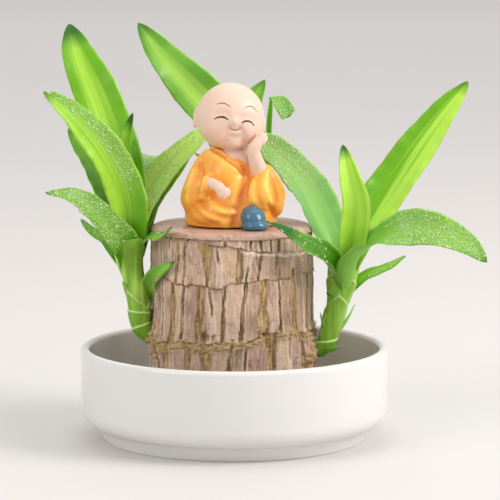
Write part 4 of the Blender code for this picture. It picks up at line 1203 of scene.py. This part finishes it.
def make_head():
    """The round head with full cheeks, a small nose, a mouth, a chin and long ears."""
    meshes = [ellipsoid("skull", HEAD_CENTRE, (16.5, 16.6, 16.6), HEAD_TURN, segments=64, rings=40),
              tube("neck", [(-1, 1, 146), (-1, 1, 141), (-1, 1, 134)], (6.5, 6.5, 6.5)),
              ellipsoid("chest", (0.5, -2.0, 135.5), (9.2, 7.6, 6.0))]
    for place in EARS:
        centre = HEAD_CENTRE + HEAD_TURN @ (Vector(place) * EAR_REACH)
        meshes.append(ellipsoid("ear", centre, (1.5, 2.6, 4.4), HEAD_TURN))
        meshes.append(ellipsoid("lobe", centre - HEAD_TURN @ Vector((0, 0, 3.6)), (1.3, 1.8, 2.4), HEAD_TURN))
    mesh = moulded("painted_head", meshes, 0.4, 8, skin_paint())
    pressed(mesh, FACE_FORMS)
    points = points_of(mesh)
    blush = np.zeros(len(points))
    for x, z in CHEEKS:
        near = bump(np.hypot(points[:, 0] - x, points[:, 2] - z), CHEEK_SIZE)
        blush = np.maximum(blush, 0.36 * near * (points[:, 1] < -4))
    add_field(mesh, "blush", blush)
    return new_object("painted_head", mesh)


# Each hand's arm, palm and fingers: a route and its radii
LAP_HAND = [
    ([(-13, -11.5, 124.5), (-11.6, -14.8, 125.6), (-8.5, -17.6, 124.8), (-6.4, -18.8, 123.6)],
     (2.6, 2.8, 2.7, 2.6)),
    ([(-8.0, -18.4, 124.2), (-5.2, -19.6, 122.4), (-3.8, -19.8, 121.6)], (2.4, 2.6, 1.8)),
    ([(-3.4, -20.3, 123.9), (-2.6, -21.0, 121.6), (-3.4, -21.0, 119.6)], (1.0, 1.1, 0.9)),
    ([(-4.8, -20.4, 124.2), (-4.1, -21.4, 121.4), (-4.6, -21.2, 118.8)], (1.0, 1.1, 0.9)),
    ([(-6.4, -20.2, 124.0), (-5.8, -21.2, 121.4), (-5.8, -21.0, 119.2)], (1.0, 1.1, 0.9)),
    ([(-7.8, -19.6, 123.6), (-7.4, -20.6, 121.6), (-7.0, -20.5, 119.9)], (0.9, 1.0, 0.8)),
]
CHEEK_ARM = [
    ([(12.8, -2, 123), (12.0, -6.2, 130), (10.4, -9.0, 136), (9.3, -10.6, 141), (10.8, -11.0, 144.4),
      (12.4, -10.4, 147.4)], (5.0, 5.0, 4.2, 3.5, 3.1, 2.0)),
    ([(11.8, -11.8, 145), (12.9, -11.4, 147.8), (13.4, -10.4, 149.8)], (1.1, 1.1, 0.9)),
    ([(13.0, -10.6, 144.6), (14.3, -10.0, 147.2), (14.8, -9.0, 149.0)], (1.1, 1.1, 0.9)),
    ([(13.2, -9.2, 143.6), (14.8, -8.8, 145.8), (15.5, -7.8, 147.4)], (1.1, 1.1, 0.9)),
]


def make_hand(name, tubes):
    """An arm with a hand whose fingers lie side by side."""
    meshes = [tube("tube", route, radii, sides=20, step=0.5) for route, radii in tubes]
    mesh = moulded(name, meshes, 0.28, 4, skin_paint())
    add_field(mesh, "blush", np.zeros(len(mesh.vertices)))
    return new_object(name, mesh)


def make_shoe():
    """The rounded shoe that shows under the robe, with a sole that stands proud all round."""
    sole = [(0, 10.0, -18.5, 6.0, 7.5), (0.9, 10.0, -18.5, 6.6, 8.2), (2.2, 10.0, -18.5, 6.7, 8.3),
            (3.4, 10.0, -18.5, 6.0, 7.7)]
    upper = [(2.8, 9.4, -18.0, 6.0, 7.2), (5.2, 9.1, -17.8, 6.1, 7.2), (7.6, 8.8, -17.4, 5.5, 6.6),
             (9.4, 8.6, -17.0, 4.2, 5.0), (10.6, 8.6, -16.8, 2.2, 2.6), (11.0, 8.6, -16.7, 0.6, 0.8)]
    mesh = moulded("painted_shoe", [ovals("sole", sole), ovals("upper", upper)], 0.3, 3, blue_paint())
    return new_object("painted_shoe", mesh)


def make_face_lines(name, head, lines, material):
    """Lines painted on the face: each a low ridge of paint that tapers at both ends."""
    work = bmesh.new()
    turns = full_turn(10)
    for places, width in lines:
        line = on_front(head.data, places)
        taper = np.clip(np.sin(np.linspace(0.08, math.pi - 0.08, len(line))), 0, 1)
        rings = []
        for point, heading, half in zip(line, unit(np.gradient(line, axis=0)), width / 2 * np.sqrt(taper)):
            outward = Vector(point - np.array(HEAD_CENTRE)).normalized()
            side = Vector(heading).cross(outward).normalized()
            flat = point + np.outer(np.cos(turns), side) * half
            rings.append(flat + np.outer(np.sin(turns), outward) * LINE_HEIGHT)
        work.from_mesh(lofted("line", rings))
    mesh = baked(name, work)
    mesh.shade_smooth()
    mesh.materials.append(material)
    item = new_object(name, mesh)
    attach(item, "root")


# Materials

def surface(name, coats, noises, kept="", places="", sums="", relief=None, **values):
    """A material: coats of colour over each other, led by noises and by values that the mesh keeps.

    coats are the first colour, then the value and the colour of each coat over it. noises are a name, a grain
    size in millimetres, a detail and, where it isn't the plain place, how far the noise is drawn out upwards
    or the three values that place it, and then its size is in their unit. relief is a value, its strength
    and its depth in metres.
    """
    material = bpy.data.materials.new(name)
    material.use_nodes = True
    tree = material.node_tree
    shader = tree.nodes["Principled BSDF"]
    for socket, value in values.items():
        shader.inputs[socket.replace("_", " ")].default_value = value
    fields = {label: add(tree, "ShaderNodeAttribute", out="Fac", attribute_name=label)
              for label in kept.split()}
    reckon(tree, fields, places)
    plain = add(tree, "ShaderNodeTexCoord", out="Object")
    for label, size, detail, *where in noises:
        place = plain
        scale = 1 / (size * MM)
        if len(where) == 1:
            place = add(tree, "ShaderNodeMapping", {"Vector": plain, "Scale": (1.0, 1.0, *where)})
        elif where:
            axes = zip("XYZ", where)
            place = add(tree, "ShaderNodeCombineXYZ", {axis: fields[value] for axis, value in axes})
            scale = 1 / size
        fields[label] = add(tree, "ShaderNodeTexNoise", {"Vector": place, "Scale": scale, "Detail": detail})
    reckon(tree, fields, sums)
    first, *others = coats.split(",")
    shade = colour(first)
    for value, code in map(str.split, others):
        shade = add(tree, "ShaderNodeMix", {"Factor": fields[value], "A": shade, "B": colour(code)},
                    out="Result", data_type="RGBA")
    tree.links.new(shade, shader.inputs["Base Color"])
    if relief:
        height, strength, depth = relief
        skin = add(tree, "ShaderNodeBump",
                   {"Strength": strength, "Distance": depth, "Height": fields[height]})
        tree.links.new(skin, shader.inputs["Normal"])
    return material


def glaze():
    """White gloss glaze over stoneware: an even white with a mirror-like skin that is faintly uneven."""
    return surface("White gloss glaze on stoneware", "#dfdedd, cloud #dad9d7", [("cloud", 45.455, 2)],
                   relief=("cloud", 0.04, 0.0004), Roughness=0.1, IOR=1.5)


def clear_water():
    """Still tap water: clear, with a mirror-smooth top."""
    return surface("Still water", "#f4fafa, cloud #eef6f4", [("cloud", 33.333, 2)],
                   Roughness=0.02, IOR=1.333, Transmission_Weight=1.0)


def drop_water():
    """Sprayed water in drops: the leaf seen through each is painted in as a pale green, with a small bright
    glint.
    """
    return surface("Sprayed water drops", "#acd778, cloud #dcf0c0", [("cloud", 3.3333, 2)],
                   Roughness=0.05, IOR=1.333, Transmission_Weight=0.25)


def sealing_wax():
    """Paraffin wax over a cut trunk: satin, pinkish brown, cloudy, with faint darker stains."""
    return surface("Paraffin sealing wax", "#b89482, cloud #d0ae9b, stain #9c6f5c",
                   [("cloud", 16.667, 4), ("speck", 2.381, 3)], sums="stain = speck - 0.5 / 0.25",
                   relief=("cloud", 0.25, 0.0004), Roughness=0.42, IOR=1.44, Subsurface_Weight=0.12,
                   Subsurface_Scale=0.002)


def bark():
    """Corky dracaena bark: matt pinkish-tan plates, brown furrows, fibres, fine cracks; painted shade in
    hollows.
    """
    # Grain runs up the trunk and shows about 0.5 mm wide, and strands in the furrows about 1 mm
    # Painted shade: dark in furrow bottoms between strands, less in golden ones, along furrow walls, and in
    # pits
    return surface(
        "Corky dracaena bark",
        "#a08170, tone #e6cbb8, warm #c4a176, crack #7a5c4c, edge #f1dac4, bed #8d6c50, straw #c8a56f,"
        "depth #573c2b, thread #dcc096, damp_moss #9c834a, seam #654836, worn #d3b684, worn_dark #86683e,"
        "pale #fcebd9, knot #bb8f58, dimple #402e22, fleck #86685a",
        [("grain", 0.90909, 4, 0.12), ("cloud", 10.526, 5), ("strand", 1.3889, 2, 0.12), ("speck", 1.25, 3),
         ("web", 9.0909, 5, 0.35)],
        kept="hollow lip tint gold rough pale pit callus moss",
        sums="""
            cloudy = cloud * 1.5 - 0.77
            lit = grain * 1.3 - 0.65
            tone = tint * 0.22 + 0.42 + cloudy + lit
            warm = cloud * 3 - 1.45 max 0
            edge = lip * 0.65
            strands = strand * 4.5 - 1.9 min 1 max 0
            light_strand = strands * hollow
            thread = light_strand * 0.8
            bed = hollow * 0.95
            straw = bed * gold
            dim = gold * -0.45 + 0.8
            depth = 1 - strands * hollow * dim
            damp_moss = moss * 0.315
            web_line = web - 0.5 absolute * -60 + 0.8 max 0
            crack = web_line * 0.5
            seam_share = cloud * 9 - 3.8 max 0.2 min 1.6
            seam = 1 - hollow * hollow * seam_share
            worn = rough * 0.7
            worn_dark = strand * 3 - 1.2 max 0 * rough * 0.5
            knot = callus * 0.6
            dimple = pit * 0.6
            fleck = speck * 2.2 - 1.3 max 0
            height = web_line * -0.8 + grain + speck + light_strand
        """,
        relief=("height", 0.8, 0.0005), Roughness=0.85, Specular_IOR_Level=0.3)


def fibre():
    """Dry bark fibre: matt and straw brown, darker here and there."""
    return surface("Dry bark fibre", "#9a7d4c, cloud #ecd5a6", [("cloud", 6.25, 3)],
                   Roughness=0.9, Specular_IOR_Level=0.2)


def leaf_green():
    """Living dracaena leaf: waxy, a pale band, stripes along it, a pale margin, painted tip shade and wet
    sheen.
    """
    # Where wet, a paler grey-green coat is painted sheen, and pale specks stand for drops too small to shape,
    # painted as glints
    return surface(
        "Living dracaena leaf",
        "#6aa814, cloud #7dba1f, dark #37780b, pale #afdb4c, bloom #84b672, back #8cc050, film #9fc463,"
        "speck #cbe3a0, rim #c6e87c, tip #2f6a1c",
        [("broad", 1, 2, "wide", "long", "seed"), ("veins", 1, 3, "fine", "long", "seed"),
         ("mist", 0.76923, 2), ("cloud", 22.222, 2)],
        kept="across along travel seed band_place band_width lime deep blue under dark_from "
             "wet wet_from wet_side",
        places="""
            wide = across * 3.2 + seed
            fine = across * 17 + seed
            long = travel * 0.1
        """,
        sums=WET_SUMS + """
            share = across - band_place absolute / band_width
            swing = broad * 2.4 - 1.2
            vein_swing = veins * 2.2 - 1.1
            pale = 1.25 - share + swing + vein_swing * 0.75 * lime max 0 min 1
            rest = 1 - pale
            dark = veins * 1.1 - 0.1 * deep * rest
            bloom = blue * 0.6
            tip = along - dark_from * 11 max 0
            rim = across absolute - 0.94 * 14 max 0 * 0.8
            back = under * 0.35
            damp = wet * soaked
            film = damp * 0.2
            speck = mist * 5 - 2.8 max 0 * damp
        """,
        relief=("veins", 0.22, 0.0003), Roughness=0.36, IOR=1.45, Specular_IOR_Level=0.35,
        Subsurface_Weight=0.2, Subsurface_Scale=0.0015, Subsurface_Radius=(0.5, 1.0, 0.1))


def stem_green():
    """Living sheath round a shoot: smooth, striped along it, and pale at each sheath's thin edge."""
    return surface(
        "Living leaf sheath", "#76a622, light #b2da52, age #6aa41e, rim #e0f0ae",
        [("streak", 2.0833, 3, 0.06), ("broad", 6.6667, 1, 0.06), ("cloud", 16.667, 2)],
        kept="edge wrap",
        sums="""
            light = streak + broad + cloud * 2.4 - 3.2
            age = wrap * 0.32 - 0.1 max 0 min 0.8
            rim = edge * 0.9
        """,
        relief=("streak", 0.25, 0.0003), Roughness=0.38, IOR=1.45, Subsurface_Weight=0.1,
        Subsurface_Scale=0.002, Subsurface_Radius=(0.5, 1.0, 0.1))


def paint(name, coats, roughness, kept=""):
    """Hand-painted resin under clear lacquer, brushed a little unevenly; a darker crease coat among its coats
    is painted shade.
    """
    return surface(name, coats, [("cloud", 11.111, 3)], kept=kept, relief=("cloud", 0.06, 0.0003),
                   Roughness=roughness, IOR=1.5, Coat_Weight=0.15, Coat_Roughness=0.2)


def orange_paint():
    """Orange lacquer, with red-orange painted shade in the folds and yellow painted highlights on their tops.
    """
    return paint("Orange lacquer on resin", "#fdb142, cloud #fba73c, crest #ffd766, crease #d9661a", 0.34,
                 "crest crease")


def skin_paint():
    """Skin-coloured lacquer with a pink blush, and painted shade in the creases of the face."""
    return paint("Skin lacquer on resin", "#eaccb9, cloud #e6c3b0, blush #eaaa92, crease #e2b09a", 0.5,
                 "blush crease")


def blue_paint():
    """Slate-blue lacquer."""
    return paint("Blue lacquer on resin", "#43768f, cloud #39687f", 0.2)


def line_paint(name, coats):
    """Fine lines of paint on the face."""
    return paint(name, coats, 0.4)


def pale_board():
    """The matt pale board that everything stands on."""
    return surface("Matt pale board", "#d8d5d3, cloud #d4d1cf", [("cloud", 333.33, 2)],
                   Roughness=0.6, Specular_IOR_Level=0.3)


# Studio

def make_camera():
    """The photograph's viewpoint."""
    camera = bpy.data.cameras.new("Camera")
    camera.sensor_width = 36.0
    camera.lens = CAMERA_LENS
    camera.clip_start = 0.05
    item = bpy.data.objects.new("Camera", camera)
    item.location = Vector(CAMERA_PLACE) * MM
    item.rotation_euler = (math.pi / 2 - CAMERA_PITCH, 0.0, -CAMERA_YAW)
    bpy.context.scene.collection.objects.link(item)
    bpy.context.scene.camera = item


def make_light(name, place, target, size, power, code):
    """A square soft box that faces a target."""
    light = bpy.data.lights.new(name, "AREA")
    light.size = size
    light.energy = power
    light.color = colour(code)[:3]
    item = bpy.data.objects.new(name, light)
    item.location = place
    item.rotation_euler = (Vector(target) - Vector(place)).to_track_quat("-Z", "Y").to_euler()
    bpy.context.scene.collection.objects.link(item)


def make_studio():
    """A plain pale floor, a pale surround and soft boxes."""
    work = bmesh.new()
    bmesh.ops.create_circle(work, cap_ends=True, segments=96, radius=FLOOR_RADIUS)
    mesh = baked("floor", work)
    mesh.materials.append(pale_board())
    new_object("floor", mesh)
    world = bpy.data.worlds.new("Studio")
    world.use_nodes = True
    surround = world.node_tree.nodes["Background"]
    surround.inputs["Color"].default_value = colour("#f4f2f1")
    surround.inputs["Strength"].default_value = SURROUND_STRENGTH
    bpy.context.scene.world = world
    for name, box in SOFT_BOXES.items():
        make_light(name, *box)
    bpy.context.scene.view_settings.view_transform = "Standard"


def dress(item, node):
    """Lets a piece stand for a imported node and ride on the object's body."""
    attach(item, "root")
    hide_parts(node)


def make_fibres(log):
    """Loose fibres on the log: some across its worn ridge and some down its mossy furrows."""
    strands = fibre_tree()
    dry = fibre()
    for name, field, density, turn, spread in FIBRES:
        wisps = new_object(name, grown(
            log, strands, Field=field, Density=density, Spacing=FIBRE_SPACING * MM, Length=FIBRE_LENGTH * MM,
            Thickness=FIBRE_THICKNESS * MM, Turn=turn, Spread=spread, Seed=FIBRE_SEED, Material=dry))
        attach(wisps, "root")


def make_shoots():
    """Three leafy shoots: each one's stem, its leaves and the water drops on them."""
    blades = blade_tree()
    drops = drop_tree()
    green, sheath, water = leaf_green(), stem_green(), drop_water()
    for side, (stem, leaves) in SHOOTS.items():
        foliage = make_leaves(f"leaves_{side}", leaves, blades, green)
        dress(foliage, f"shoot_{side}")
        dress(make_stem(f"stem_{side}", *stem, sheath), f"shoot_{side}")
        beads = new_object(f"drops_{side}", grown(
            foliage, drops, Density=DROP_DENSITY, Spacing=DROP_SPACING * MM, Smallest=DROP_SMALLEST * MM,
            Largest=DROP_LARGEST * MM, Seed=DROP_SEED, Material=water))
        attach(beads, "root")


def make_figure():
    """The painted ornament: its head with painted lines, robe, shoe and hands."""
    head = make_head()
    dress(head, "figure_head")
    brown = line_paint("Brown line paint", "#634a3c, cloud #574135")
    make_face_lines("brow_lines", head, BROW_LINES, brown)
    dark_brown = line_paint("Dark brown line paint", "#40332c, cloud #352a25")
    make_face_lines("eye_lines", head, EYE_LINES, dark_brown)
    dress(make_robe(), "figure_robe")
    dress(make_shoe(), "figure_shoe")
    dress(make_hand("painted_lap_hand", LAP_HAND), "figure_lap_hand")
    dress(make_hand("painted_cheek_arm", CHEEK_ARM), "figure_cheek_arm")


def build():
    """Builds every piece and its surroundings."""
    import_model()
    make_camera()
    make_studio()
    dress(make_dish(), "dish")
    dress(make_water(), "water")
    log = make_log()
    dress(log, "log")
    make_fibres(log)
    dress(make_wax(), "wax_cap")
    make_shoots()
    make_figure()


build()
